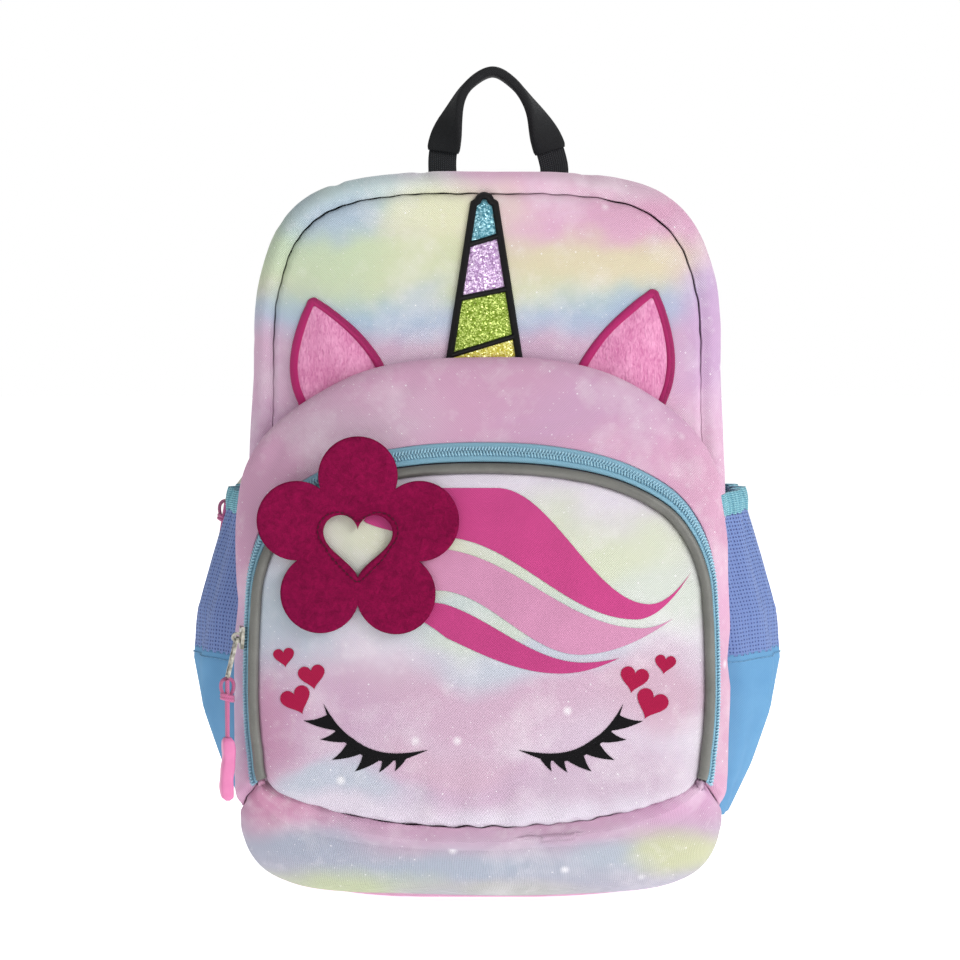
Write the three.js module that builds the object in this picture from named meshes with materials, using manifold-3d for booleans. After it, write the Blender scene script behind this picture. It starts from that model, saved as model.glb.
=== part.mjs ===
// A child's school backpack with a unicorn face, standing on its base.
// Millimetres. +X is the viewer's right, -Y is the front, +Z is up, and the origin is on the floor under the
// bag.
// The bag is sewn from cloth panels. Each panel is a thin wall cut from one of two skins, the bag body's and
// the front pocket's, so that neighbours meet edge to edge at a seam.
import * as THREE from "three";
import { mergeVertices } from "three/addons/utils/BufferGeometryUtils.js";
import Module from "manifold-3d";

const wasm = await Module();
wasm.setup();

// Bag body
const BAG_HEIGHT = 397;
const BAG_HALF_WIDTH = 134;
const BAG_DEPTH = 100;
const FRONT_DOME = 13;
const BACK_DOME = 7;
const CLOTH = 2;
const BACK_PADDING = 5;
const SEAM_GAP = 0.3;

// Zips
const ZIP_WIDTH = 10;
const ZIP_WALL = 1.2;
const COIL_HEIGHT = 1.4;

// Front pocket
const POCKET_OFFSET = -3;
const POCKET_HALF_WIDTH = 122;
const POCKET_HEIGHT = BAG_HEIGHT - 100;
const POCKET_DEPTH = 46;
const FACE_HALF_WIDTH = 119;
const FACE_HEIGHT = POCKET_HEIGHT - 61;
const FACE_DOME = 14;
const PIPING_DIAMETER = 5.6;

// Appliques
const APPLIQUE = 1.2;
const HORN_LENGTH = 87;
const HORN_BASE_WIDTH = 41;
const HORN_TIP_WIDTH = 11;
const HORN_STITCH = 4;
const HORN_OFFSET = -1.5;
const ARCH_GAP = 2.5;
const EAR_HEIGHT = 51;
const EAR_WIDTH = 54;
const EAR_OFFSET = 76;
const EAR_LEAN = 19;
const EAR_TRIM = 5;
const EAR_PAD = 3;
const FLOWER_X = -69;
const FLOWER_Z = FACE_HEIGHT - 35;
const PETAL_RADIUS = 21.2;
const PETAL_ORBIT = 34.5;
const HEART_WIDTH = 37;
const FELT = 3;

// Side pockets
const SIDE_BULGE = 28;
const SIDE_LOW = 46;
const SIDE_SEAM = 134;
const SIDE_TOP = 224;
const BINDING_HEIGHT = 12;
const MESH = 1.2;
const BINDING = 2;

// Carry handle
const HANDLE_RISE = 61;
const HANDLE_LEFT = -25;
const HANDLE_RIGHT = 38;
const WEBBING = 1.6;
const HANDLE_WEBBING_WIDTH = 16;
const SLEEVE_WALL = 1.4;
const SLEEVE_SLACK = 0.5;

// Shoulder straps
const STRAP_WIDTH = 50;
const STRAP_THICKNESS = 9;
const STRAP_STANDOFF = 36;
const STRAP_WEBBING_WIDTH = 22;
const LOCK_HEIGHT = 24;
const LOCK_RAIL = 4;
const LOCK_BAR = 2.8;
const LOCK_THICKNESS = 2.6;
const TONGUE = 12;
const WEBBING_TAIL = 45;

// Zip pulls
const FRONT_SLIDER_Z = 148;
const MAIN_SLIDER_Z = SIDE_TOP + 8;
const SLIDER_LENGTH = 12;
const SLIDER_WIDTH = 8.5;
const SLIDER_PLATE = 1.8;
const BRIDGE_WIDTH = 2.2;
const BRIDGE_BAR = 1.3;
const TAB_LENGTH = 23;
const TAB_WIDTH = 7.4;
const TAB_THICKNESS = 1.4;
const TAB_RIM = 1.4;
const RUNNING_GAP = 0.5;
const CORD_DIAMETER = 2;
const CORD_DROP = 31;
const GRIP_LENGTH = 34;
const GRIP_WIDTH = 9.5;
const GRIP_THICKNESS = 5;
const FRONT_TAB_LEAN = 11;
const MAIN_TAB_LEAN = 36;
const MAIN_CORD_LEAN = 9;

// Half of the body's outline, from the middle of the base up the right side to the middle of the top:
// x as a share of the half width, z as a share of the height.
const BODY_OUTLINE = [
  [0.0, 0.0],
  [0.34, 0.0],
  [0.62, 0.009],
  [0.83, 0.03],
  [0.935, 0.06],
  [0.985, 0.1],
  [1.0, 0.17],
  [0.995, 0.27],
  [0.985, 0.43],
  [0.972, 0.58],
  [0.96, 0.7],
  [0.95, 0.81],
  [0.925, 0.867],
  [0.86, 0.925],
  [0.74, 0.967],
  [0.56, 0.99],
  [0.3, 1.0],
  [0.0, 1.0],
];

// Sections of the body's sides from the back seam to the front seam:
// y as a share of the depth, half width as a share of its own, lowest and highest z as shares of the height.
const BODY_SECTIONS = [
  [0.52, 0.94, 0.01, 0.982],
  [0.46, 0.972, 0.0, 0.996],
  [0.32, 0.994, 0.0, 1.0],
  [0.14, 1.0, 0.0, 1.0],
  [-0.06, 1.0, 0.0, 1.0],
  [-0.25, 0.99, 0.0, 0.999],
  [-0.38, 0.965, 0.0, 0.992],
  [-0.455, 0.925, 0.012, 0.979],
];
const FRONT_SEAM = BODY_SECTIONS.length - 1;
const BODY_TURN = 2 * (BODY_OUTLINE.length - 1);
const BASE_END = 5;
const LOWER_CORNER = 7;
const ZIP_END = 8;
const ZIP_SECTION = 1.85;

// Half of the pocket's outlines, from the bottom middle up the right side to the top middle. Rear seam first,
// as shares of POCKET_HALF_WIDTH and POCKET_HEIGHT, then the face's edge, as shares of FACE_HALF_WIDTH and
// FACE_HEIGHT.
const POCKET_OUTLINE = [
  [0.0, 0.032, 0.0, 0.184],
  [0.32, 0.032, 0.294, 0.189],
  [0.62, 0.036, 0.571, 0.21],
  [0.83, 0.052, 0.784, 0.244],
  [0.95, 0.09, 0.95, 0.296],
  [0.99, 0.185, 0.985, 0.38],
  [1.0, 0.32, 1.0, 0.47],
  [1.0, 0.471, 1.0, 0.571],
  [1.0, 0.623, 0.992, 0.674],
  [0.99, 0.755, 0.973, 0.764],
  [0.95, 0.838, 0.91, 0.845],
  [0.82, 0.905, 0.8, 0.91],
  [0.56, 0.965, 0.588, 0.963],
  [0.28, 0.993, 0.31, 0.992],
  [0.0, 1.0, 0.0, 1.0],
];
const POCKET_TURN = 2 * (POCKET_OUTLINE.length - 1);

// Sections of the pocket's wall from its rear seam to the zip: how far the outline has gone from the rear
// seam's to the face's, y and the outward swell as shares of the pocket's depth.
const POCKET_SECTIONS = [
  [0.0, 0.0, 0.0],
  [0.02, 0.16, 0.15],
  [0.12, 0.34, 0.2],
  [0.35, 0.52, 0.19],
  [0.6, 0.67, 0.12],
];
const ZIP_OUTER = POCKET_SECTIONS.length;
const ZIP_INNER = ZIP_OUTER + 1;
const FACE_EDGE = ZIP_INNER + 1;
const ZIP_OUTER_SHARE = 0.82;
const ZIP_OUTER_SWELL = 0.05;
const TOP_SWELL = 0.1;
const CORNER_SEAM = [5.2, 4];
const FACE_MIDDLE_SHARE = 0.6;

// An ear's half width as a share of its own, at even steps from its foot to its tip.
const EAR_SHAPE = [[1.0], [1.0], [0.93], [0.8], [0.6], [0.34], [0.06]];

// The side pocket's swell at shares of the height from its foot to its mouth.
const SIDE_SWELL = [
  [0.0, 0.0],
  [0.14, 0.44],
  [0.3, 0.84],
  [0.46, 1.0],
  [0.62, 0.9],
  [0.78, 0.62],
  [0.92, 0.36],
  [1.0, 0.3],
];
const SIDE_REAR = 0.7;
const SIDE_FRONT = 6.35;

// The handle's middle line from left foot to right foot: x as a share of the span, z as a share of the rise.
const HANDLE_ROUTE = [
  [0.0, 0.0],
  [0.0, 0.24],
  [0.07, 0.55],
  [0.2, 0.84],
  [0.43, 1.0],
  [0.63, 0.9],
  [0.81, 0.66],
  [0.93, 0.38],
  [1.0, 0.14],
  [1.0, 0.0],
];
const HANDLE_STEPS = 18;
const SLEEVE_END_STEPS = 2;

// A shoulder strap from its top seam to the base corner: x as a share of the half width, distance behind the
// back panel as a share of the standoff, z as a share of the height.
const STRAP_ROUTE = [
  [0.25, 0.0, 0.93],
  [0.26, 0.02, 0.905],
  [0.285, 0.4, 0.87],
  [0.33, 0.82, 0.8],
  [0.4, 1.0, 0.71],
  [0.48, 1.0, 0.61],
  [0.56, 0.9, 0.51],
  [0.62, 0.74, 0.42],
  [0.68, 0.54, 0.32],
  [0.73, 0.34, 0.22],
  [0.77, 0.12, 0.135],
  [0.785, 0.0, 0.1],
  [0.79, 0.0, 0.075],
];
const LOCK_PLACE = 0.61;

// A pull's strand from the tab down to the grip: sideways as a share of its diameter, down as a share of its
// drop.
const CORD_BOW = [
  [0.68, 0.0],
  [0.75, 0.2],
  [0.95, 0.5],
  [0.75, 0.8],
  [0.68, 1.0],
];

const CLOTH_PINK = "#e7a9cf";
const CLOTH_FACE = "#ead3e2";
const CLOTH_BASE = "#d6d9d8";
const ZIP_BLUE = "#7fb6d6";
const REFLECTIVE_GREY = "#8d8d8b";
const MESH_BLUE = "#6c8fcf";
const POCKET_BLUE = "#7db9e6";
const BINDING_TEAL = "#9ccfe0";
const WEB_BLACK = "#2c2d2f";
const FELT_MAGENTA = "#b01560";
const TRIM_MAGENTA = "#c81d6c";
const PLUSH_PINK = "#ef83b8";
const STITCH_BLACK = "#141414";
const METAL = "#a9a69c";
const CORD_PINK = "#ef7fb4";
const GRIP_PINK = "#f58fc4";
const GLITTERS = ["#d9cf45", "#9fc01f", "#d9a9dc", "#5fa9b8"];

const V = (x, y, z) => new THREE.Vector3(x, y, z);
const mix = THREE.MathUtils.lerp;
const spans = (from, to, count) =>
  Array.from({ length: count + 1 }, (_, k) => mix(from, to, k / count));

// Catmull-Rom between the middle two of four rows, every column at once.
function catmull([a, b, c, d], f) {
  return b.map((at, k) => {
    const slope = c[k] - a[k];
    const bend = 2 * a[k] - 5 * at + 4 * c[k] - d[k];
    const twist = 3 * (at - c[k]) + d[k] - a[k];
    return at + 0.5 * f * (slope + f * (bend + f * twist));
  });
}

// A table read at row t, between its rows as a smooth curve.
function readTable(rows, t) {
  const last = rows.length - 1;
  const i = THREE.MathUtils.clamp(Math.floor(t), 0, last - 1);
  const row = (k) => rows[THREE.MathUtils.clamp(k, 0, last)];
  return catmull([row(i - 1), row(i), row(i + 1), row(i + 2)], t - i);
}

// A half outline read at u, mirrored for the left side. Every even column is an x.
function readOutline(half, u) {
  const last = half.length - 1;
  const row = (k) => {
    const m = THREE.MathUtils.euclideanModulo(k, 2 * last);
    return m <= last ? half[m] : half[2 * last - m].map((v, c) => (c % 2 ? v : -v));
  };
  const i = Math.floor(u);
  return catmull([row(i - 1), row(i), row(i + 1), row(i + 2)], u - i);
}

// The parameter between low and high at which a rising function reaches a value.
function solve(value, low, high, wanted) {
  let [a, b] = [low, high];
  for (let k = 0; k < 40; k++) {
    const middle = (a + b) / 2;
    if (value(middle) < wanted) a = middle;
    else b = middle;
  }
  return (a + b) / 2;
}

// A panel domed over an outline. point(u, share) goes from its centre to its edge, and depthAt(x, z) reads
// its y.
function domedPanel(edge, turn, centre, dome) {
  const rays = [];
  for (let k = 0; k < 8 * turn; k++) {
    const p = edge(k / 8);
    const [x, z] = [p.x - centre.x, p.z - centre.z];
    rays.push([Math.atan2(z, x), Math.hypot(x, z)]);
  }
  rays.sort((a, b) => a[0] - b[0]);
  const first = rays[0];
  const last = rays[rays.length - 1];
  rays.unshift([last[0] - 2 * Math.PI, last[1]]);
  rays.push([first[0] + 2 * Math.PI, first[1]]);
  const edgeY = edge(0).y;
  const depth = (share) => edgeY + dome * (1 - Math.min(share, 1) ** 2);
  const point = (u, share) => {
    const p = edge(u);
    return V(mix(centre.x, p.x, share), depth(share), mix(centre.z, p.z, share));
  };
  const depthAt = (x, z) => {
    const angle = Math.atan2(z - centre.z, x - centre.x);
    const k = Math.max(1, rays.findIndex((ray) => ray[0] >= angle));
    const f = (angle - rays[k - 1][0]) / (rays[k][0] - rays[k - 1][0]);
    return depth(Math.hypot(x - centre.x, z - centre.z) / mix(rays[k - 1][1], rays[k][1], f));
  };
  return { point, depthAt };
}

// The bag body's skin: u goes round the outline, t from the back panel's middle at -1 to the front panel's at
// FRONT_SEAM + 1.
function bodySide(u, t) {
  const [sx, sz] = readOutline(BODY_OUTLINE, u);
  const [depth, width, low, high] = readTable(BODY_SECTIONS, t);
  const z = Math.max(0, BAG_HEIGHT * mix(low, high, sz));
  return V(BAG_HALF_WIDTH * width * sx, BAG_DEPTH * depth, z);
}
const BODY_CENTRE = V(0, 0, BAG_HEIGHT / 2);
const frontEdge = (u) => bodySide(u, FRONT_SEAM);
const backEdge = (u) => bodySide(u, 0);
const frontDome = domedPanel(frontEdge, BODY_TURN, BODY_CENTRE, -FRONT_DOME);
const backDome = domedPanel(backEdge, BODY_TURN, BODY_CENTRE, BACK_DOME);
function bodySkin(u, t) {
  if (t > FRONT_SEAM) return frontDome.point(u, FRONT_SEAM + 1 - t);
  if (t < 0) return backDome.point(u, 1 + t);
  return bodySide(u, t);
}

// The front pocket's outline between its rear seam, share 0, and its face's edge, share 1.
function pocketOutline(u, share) {
  const [rearX, rearZ, faceX, faceZ] = readOutline(POCKET_OUTLINE, u);
  const x = mix(POCKET_HALF_WIDTH * rearX, FACE_HALF_WIDTH * faceX, share);
  return V(POCKET_OFFSET + x, 0, mix(POCKET_HEIGHT * rearZ, FACE_HEIGHT * faceZ, share));
}
function outlineNormal(u, share) {
  const step = pocketOutline(u + 0.02, share).sub(pocketOutline(u - 0.02, share));
  return V(step.z, 0, -step.x).normalize();
}

// The pocket's skin: u goes round, t from the rear seam at 0 over the zip and the piping to the face's edge
// at FACE_EDGE, and on to the face's middle at FACE_EDGE + 1.
const PIPING_ROOM = PIPING_DIAMETER + 4 * SEAM_GAP;
const ZIP_INNER_DEPTH = 1 - PIPING_DIAMETER / 4 / POCKET_DEPTH;
const ZIP_OUTER_DEPTH = ZIP_INNER_DEPTH - (0.85 * ZIP_WIDTH) / POCKET_DEPTH;
const POCKET_ROWS = [
  ...POCKET_SECTIONS,
  [ZIP_OUTER_SHARE, ZIP_OUTER_DEPTH, ZIP_OUTER_SWELL],
  [1, ZIP_INNER_DEPTH, 0],
  [1, 1, 0],
];
const FACE_Y = bodySide(0, FRONT_SEAM).y - POCKET_DEPTH;
function pocketWall(u, t) {
  const i = Math.min(Math.floor(t), FACE_EDGE - 1);
  const [share, depth, swell] = POCKET_ROWS[i].map((v, c) => mix(v, POCKET_ROWS[i + 1][c], t - i));
  const out = outlineNormal(u, share);
  const swelling = POCKET_DEPTH * swell * mix(1, TOP_SWELL, Math.max(0, out.z));
  const room = PIPING_ROOM * Math.min(t / ZIP_INNER, FACE_EDGE - t);
  const p = pocketOutline(u, share).addScaledVector(out, swelling + room);
  const seam = pocketOutline(u, 0);
  const rear = frontDome.depthAt(seam.x, seam.z) - SEAM_GAP;
  return V(p.x, mix(rear, FACE_Y, depth), Math.max(0, p.z));
}
const FACE_CENTRE = V(POCKET_OFFSET, 0, FACE_HEIGHT * FACE_MIDDLE_SHARE);
const faceEdge = (u) => pocketWall(u, FACE_EDGE);
const faceDome = domedPanel(faceEdge, POCKET_TURN, FACE_CENTRE, -FACE_DOME);
function pocketSkin(u, t) {
  return t > FACE_EDGE ? faceDome.point(u, FACE_EDGE + 1 - t) : pocketWall(u, Math.max(0, t));
}

// The outward normal of a skin, mitred where the skin is creased at a seam.
function skinNormal(skin, u, t) {
  const reach = 0.08;
  const oneSide = (at) => {
    const du = skin(u + reach, at).sub(skin(u - reach, at));
    const dt = skin(u, at + reach / 2).sub(skin(u, at - reach / 2));
    return du.cross(dt).normalize();
  };
  return oneSide(t + reach).add(oneSide(t - reach)).normalize();
}

function geometryOf(points, triangles) {
  let volume = 0;
  for (const [a, b, c] of triangles) volume += points[a].dot(points[b].clone().cross(points[c]));
  const faces = volume < 0 ? triangles.map(([a, b, c]) => [a, c, b]) : triangles;
  const positions = new Float32Array(points.flatMap((p) => [p.x, p.y, p.z]));
  return new THREE.BufferGeometry()
    .setAttribute("position", new THREE.BufferAttribute(positions, 3))
    .setIndex(faces.flat());
}

// A wall between an outer and an inner surface, both read at the same parameters. A ring is closed in a, and
// a pole closes it in b, where all of a is one point.
function wall(outer, inner, as, bs, { ring = false, pole = false } = {}) {
  const rows = pole ? bs.length - 1 : bs.length;
  const points = [];
  for (const face of [outer, inner]) {
    for (const b of bs.slice(0, rows)) {
      for (const a of as) points.push(face(a, b));
    }
    if (pole) points.push(face(as[0], bs[rows]));
  }
  const side = points.length / 2;
  const count = as.length;
  const triangles = [];
  const quad = (a, b, c, d) => triangles.push([a, b, c], [a, c, d]);
  const at = (i, j) => j * count + (i % count);
  for (let i = 0; i < (ring ? count : count - 1); i++) {
    for (let j = 0; j < rows - 1; j++) {
      quad(at(i, j), at(i + 1, j), at(i + 1, j + 1), at(i, j + 1));
      quad(side + at(i, j), side + at(i, j + 1), side + at(i + 1, j + 1), side + at(i + 1, j));
    }
    quad(at(i, 0), side + at(i, 0), side + at(i + 1, 0), at(i + 1, 0));
    const top = rows - 1;
    if (pole) {
      triangles.push([at(i, top), at(i + 1, top), side - 1]);
      triangles.push([side + at(i + 1, top), side + at(i, top), 2 * side - 1]);
    } else {
      quad(at(i + 1, top), side + at(i + 1, top), side + at(i, top), at(i, top));
    }
  }
  const end = count - 1;
  for (let j = 0; !ring && j < rows - 1; j++) {
    quad(at(0, j), at(0, j + 1), side + at(0, j + 1), side + at(0, j));
    quad(at(end, j + 1), at(end, j), side + at(end, j), side + at(end, j + 1));
  }
  return geometryOf(points, triangles);
}

// A cloth panel cut from a skin, its outer face on the skin.
function skinPanel(skin, as, bs, thickness, options) {
  const inner = (a, b) => skin(a, b).addScaledVector(skinNormal(skin, a, b), -thickness);
  return wall(skin, inner, as, bs, options);
}

// A solid carried along stations. Each has a centre, two directions, and a section of [s, t] corners in them.
function carried(stations) {
  const size = stations[0].section.length;
  const points = stations.flatMap(({ centre, across, out, section }) =>
    section.map(([s, t]) => centre.clone().addScaledVector(across, s).addScaledVector(out, t)),
  );
  const triangles = [];
  for (let i = 0; i < stations.length - 1; i++) {
    for (let k = 0; k < size; k++) {
      const [a, b] = [i * size + k, i * size + ((k + 1) % size)];
      triangles.push([a, b, b + size], [a, b + size, a + size]);
    }
  }
  const far = (stations.length - 1) * size;
  for (let k = 1; k < size - 1; k++) {
    triangles.push([0, k + 1, k], [far, far + k, far + k + 1]);
  }
  return geometryOf(points, triangles);
}
const bandSection = (width, thickness) => {
  const [w, h] = [width / 2, thickness / 2];
  return [[-w, -h], [w, -h], [w, h], [-w, h]];
};
const paddedSection = (width, thickness) => {
  const [w, h] = [width / 2, thickness / 2];
  const [c, d] = [h, 0.45 * h];
  return [[-w + c, -h], [w - c, -h], [w, -d], [w, d], [w - c, h], [-w + c, h], [-w, d], [-w, -d]];
};

const bag = new THREE.Group();

function addMesh(name, geometry, colour, { roughness = 0.85, metalness = 0, parent = bag } = {}) {
  const material = new THREE.MeshStandardMaterial({ color: colour, roughness, metalness });
  const mesh = new THREE.Mesh(geometry, material);
  mesh.name = name;
  parent.add(mesh);
  return mesh;
}

// The bag body's panels. Neighbours read the skin at the same steps, so that their facets agree at the seams.
function bodySteps(from, to) {
  const fromTop = (u) => Math.abs(((u + BODY_TURN * 1.5) % BODY_TURN) - BODY_TURN / 2);
  const cornerStep = (u) => Math.abs(fromTop(u) - LOWER_CORNER) <= 2;
  const inner = [];
  for (let u = Math.ceil(from); u < to; u += 0.5) {
    if (u > from && (Number.isInteger(u) || cornerStep(u))) inner.push(u);
  }
  return [from, ...inner, to];
}
function sectionSteps(from, to) {
  const inner = spans(0, FRONT_SEAM, FRONT_SEAM).filter((t) => t > from && t < to);
  return [from, ...inner, to];
}
const round = bodySteps(0, BODY_TURN).slice(0, -1);
const speed = (skin, u, t, du, dt) => skin(u + du, t + dt).distanceTo(skin(u, t)) / (du + dt);
const seamU = SEAM_GAP / 2 / speed(bodySkin, ZIP_END, 3, 0.1, 0);
const baseSeamU = SEAM_GAP / 2 / speed(bodySkin, BASE_END, 3, 0.1, 0);
const backSeamT = SEAM_GAP / speed(bodySkin, ZIP_END, 0, 0, 0.1);
const frontSeamT = SEAM_GAP / speed(bodySkin, ZIP_END, FRONT_SEAM - 0.1, 0, 0.1);
const zipT = ZIP_WIDTH / 2 / speed(bodySkin, BODY_TURN / 2, ZIP_SECTION, 0, 0.1);
const domeSeam = (2 * SEAM_GAP) / BAG_HALF_WIDTH;
const zipSeamT = (zipT * SEAM_GAP) / ZIP_WIDTH;

const whole = { ring: true, pole: true };
const frontRows = spans(FRONT_SEAM + domeSeam, FRONT_SEAM + 1, 4);
addMesh("front_panel", skinPanel(bodySkin, round, frontRows, CLOTH, whole), CLOTH_PINK);
const backRows = spans(-domeSeam, -1, 3);
addMesh("back_panel", skinPanel(bodySkin, round, backRows, BACK_PADDING, whole), CLOTH_BASE);

const overTop = bodySteps(ZIP_END + seamU, BODY_TURN - ZIP_END - seamU);
const frontGussetRows = sectionSteps(ZIP_SECTION + zipT + zipSeamT, FRONT_SEAM - frontSeamT);
addMesh("top_gusset_front", skinPanel(bodySkin, overTop, frontGussetRows, CLOTH), CLOTH_PINK);
const backGussetRows = sectionSteps(backSeamT, ZIP_SECTION - zipT - zipSeamT);
addMesh("top_gusset_back", skinPanel(bodySkin, overTop, backGussetRows, CLOTH), CLOTH_PINK);

// A zip between two lines of a skin: tape with the coil standing along its middle.
function zipBand(skin, as, fromT, toT) {
  const rise = (b) => COIL_HEIGHT * Math.max(0, 1 - Math.abs(b - 0.5) / 0.2);
  const face = (lift) => (a, b) => {
    const t = mix(fromT, toT, b);
    return skin(a, t).addScaledVector(skinNormal(skin, a, t), lift(b));
  };
  return wall(face(rise), face(() => -ZIP_WALL), as, [0, 0.3, 0.5, 0.7, 1]);
}
addMesh("main_zip", zipBand(bodySkin, overTop, ZIP_SECTION - zipT, ZIP_SECTION + zipT), ZIP_BLUE);

const lengthways = sectionSteps(backSeamT, FRONT_SEAM - frontSeamT);
const rightSteps = bodySteps(BASE_END + baseSeamU, ZIP_END - seamU);
addMesh("side_panel_right", skinPanel(bodySkin, rightSteps, lengthways, CLOTH), CLOTH_PINK);
const leftSteps = rightSteps.map((u) => -u);
addMesh("side_panel_left", skinPanel(bodySkin, leftSteps, lengthways, CLOTH), CLOTH_PINK);
const baseSteps = bodySteps(-BASE_END + baseSeamU, BASE_END - baseSeamU);
addMesh("base_panel", skinPanel(bodySkin, baseSteps, lengthways, CLOTH), CLOTH_BASE);

// The front pocket. Above the slanted corner seams its wall carries the zip and the piping, and below them it
// is one band. a counts the steps along the face's edge, and the panels above the corners spread to their seams.
const cornerU = (t) => mix(...CORNER_SEAM, THREE.MathUtils.clamp(t / FACE_EDGE, 0, 1));
const pocketSeamU = SEAM_GAP / 2 / speed(pocketSkin, CORNER_SEAM[1], FACE_EDGE - 1, 0.1, 0);
function upper(a, t) {
  const low = cornerU(t) + pocketSeamU;
  return pocketSkin(mix(low, POCKET_TURN - low, a), t);
}
function lower(a, t) {
  const high = cornerU(t) - pocketSeamU;
  return pocketSkin(mix(-high, high, a), t);
}
const upperSteps = spans(0, 1, 2 * (POCKET_TURN - 2 * CORNER_SEAM[1]));
const lowerSteps = spans(0, 1, 4 * CORNER_SEAM[1]);
const edgeSeamT = SEAM_GAP / PIPING_ROOM;
const zipGapT = SEAM_GAP / ZIP_WIDTH;
const gussetRows = [...spans(0, ZIP_OUTER - 1, ZIP_OUTER - 1), ZIP_OUTER - zipGapT];
addMesh("pocket_gusset", skinPanel(upper, upperSteps, gussetRows, CLOTH), CLOTH_PINK);
addMesh("pocket_zip", zipBand(upper, upperSteps, ZIP_OUTER, ZIP_INNER - zipGapT), ZIP_BLUE);
const bandRows = [...spans(0, ZIP_INNER, ZIP_INNER), FACE_EDGE - edgeSeamT];
addMesh("lower_band", skinPanel(lower, lowerSteps, bandRows, CLOTH), CLOTH_BASE);
const faceSteps = spans(0, POCKET_TURN, 2 * POCKET_TURN).slice(0, -1);
const faceRows = spans(FACE_EDGE + SEAM_GAP / FACE_HALF_WIDTH, FACE_EDGE + 1, 4);
addMesh("pocket_face", skinPanel(pocketSkin, faceSteps, faceRows, CLOTH, whole), CLOTH_FACE);

function piping() {
  const middle = (ZIP_INNER + FACE_EDGE) / 2;
  const radius = PIPING_DIAMETER / 2;
  const section = spans(0, 2 * Math.PI, 6).slice(1)
    .map((angle) => [radius * Math.cos(angle), radius * Math.sin(angle)]);
  const inset = PIPING_DIAMETER / 2 / POCKET_HEIGHT;
  const stations = [inset, ...upperSteps.slice(1, -1), 1 - inset].map((a) => {
    const tangent = upper(a + 0.002, middle).sub(upper(a - 0.002, middle)).normalize();
    const across = V(0, -1, 0).addScaledVector(tangent, tangent.y).normalize();
    return { centre: upper(a, middle), across, out: tangent.clone().cross(across), section };
  });
  return carried(stations);
}
addMesh("reflective_piping", piping(), REFLECTIVE_GREY, { roughness: 0.5 });

// An applique on a domed panel: xz(a, b) is its outline's map, and it stands lift off the panel.
function applique(panel, xz, as, bs, lift, thickness, options) {
  const face = (height) => (a, b) => {
    const [x, z] = xz(a, b);
    return V(x, panel.depthAt(x, z) - lift - height(a, b), z);
  };
  const height = typeof thickness === "number" ? () => thickness : thickness;
  return wall(face(height), face(() => 0), as, bs, options);
}
const SEATED = 0.4;
const STACKED = SEATED + APPLIQUE + SEAM_GAP;

// The horn: a black satin stitched outline with four glitter panels between slanted bars.
const HORN_FOOT = POCKET_HEIGHT + ARCH_GAP;
const HORN_DIVIDERS = [0, 0.2, 0.45, 0.74, 1];
const HORN_SLANTS = [0, 0.2, 0.25, 0.25, 0];
const hornHalf = (share) => mix(HORN_BASE_WIDTH, HORN_TIP_WIDTH, share) / 2;
function hornPoint(across, share, slant) {
  const x = across * hornHalf(share);
  return [HORN_OFFSET + x, HORN_FOOT + HORN_LENGTH * share + slant * x];
}
const hornOutline = (a, b) => hornPoint(a * Math.min(1, 0.55 + 6 * (1 - b)), b, 0);
const hornRows = [0, 0.2, 0.4, 0.6, 0.8, 0.93, 1];
addMesh("horn_outline", applique(frontDome, hornOutline, spans(-1, 1, 4), hornRows, SEATED, APPLIQUE),
  STITCH_BLACK);
GLITTERS.forEach((colour, k) => {
  const margin = HORN_STITCH / 2 / HORN_LENGTH;
  const from = HORN_DIVIDERS[k] + (k === 0 ? 2 : 1) * margin;
  const to = HORN_DIVIDERS[k + 1] - (k === GLITTERS.length - 1 ? 2 : 1) * margin;
  const panel = (a, b) => {
    const share = mix(from, to, b);
    const slant = mix(HORN_SLANTS[k], HORN_SLANTS[k + 1], b);
    return hornPoint(a * (1 - HORN_STITCH / hornHalf(share)), share, slant);
  };
  const solid = applique(frontDome, panel, spans(-1, 1, 2), spans(0, 1, 2), STACKED, APPLIQUE);
  addMesh(`horn_glitter_${k + 1}`, solid, colour, { roughness: 0.4 });
});

// The ears rise from the pocket's rear seam: a satin stitched plate with a plush pad on it.
function earMap(side, inset) {
  const topU = POCKET_TURN / 2;
  const footU = solve((u) => -pocketOutline(u, 0).x, topU - 5, topU, -POCKET_OFFSET - EAR_OFFSET);
  const archU = side > 0 ? footU : POCKET_TURN - footU;
  const middle = pocketOutline(archU, 0);
  const normal = outlineNormal(archU, 0);
  const lean = THREE.MathUtils.degToRad(side * EAR_LEAN);
  const up = V(Math.sin(lean), 0, Math.cos(lean));
  const footAcross = V(normal.z, 0, -normal.x);
  const tipAcross = V(up.z, 0, -up.x);
  const perU = (speed(pocketOutline, archU, 0, 0.1, 0) * 2) / EAR_WIDTH;
  return (a, b) => {
    const share = mix((0.6 * inset) / EAR_HEIGHT, 1 - (1.9 * inset) / EAR_HEIGHT, b);
    const full = (EAR_WIDTH / 2) * readTable(EAR_SHAPE, share * (EAR_SHAPE.length - 1))[0];
    const half = a * Math.max(full - inset, full * 0.1);
    const across = footAcross.clone().lerp(tipAcross, share);
    const straight = middle.clone().addScaledVector(footAcross, half);
    const arched = pocketOutline(archU - (half / (EAR_WIDTH / 2)) / perU, 0);
    const p = middle.clone().addScaledVector(normal, ARCH_GAP).addScaledVector(up, EAR_HEIGHT * share);
    p.addScaledVector(across, half).addScaledVector(arched.sub(straight), 1 - share);
    return [p.x, p.z];
  };
}
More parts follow.
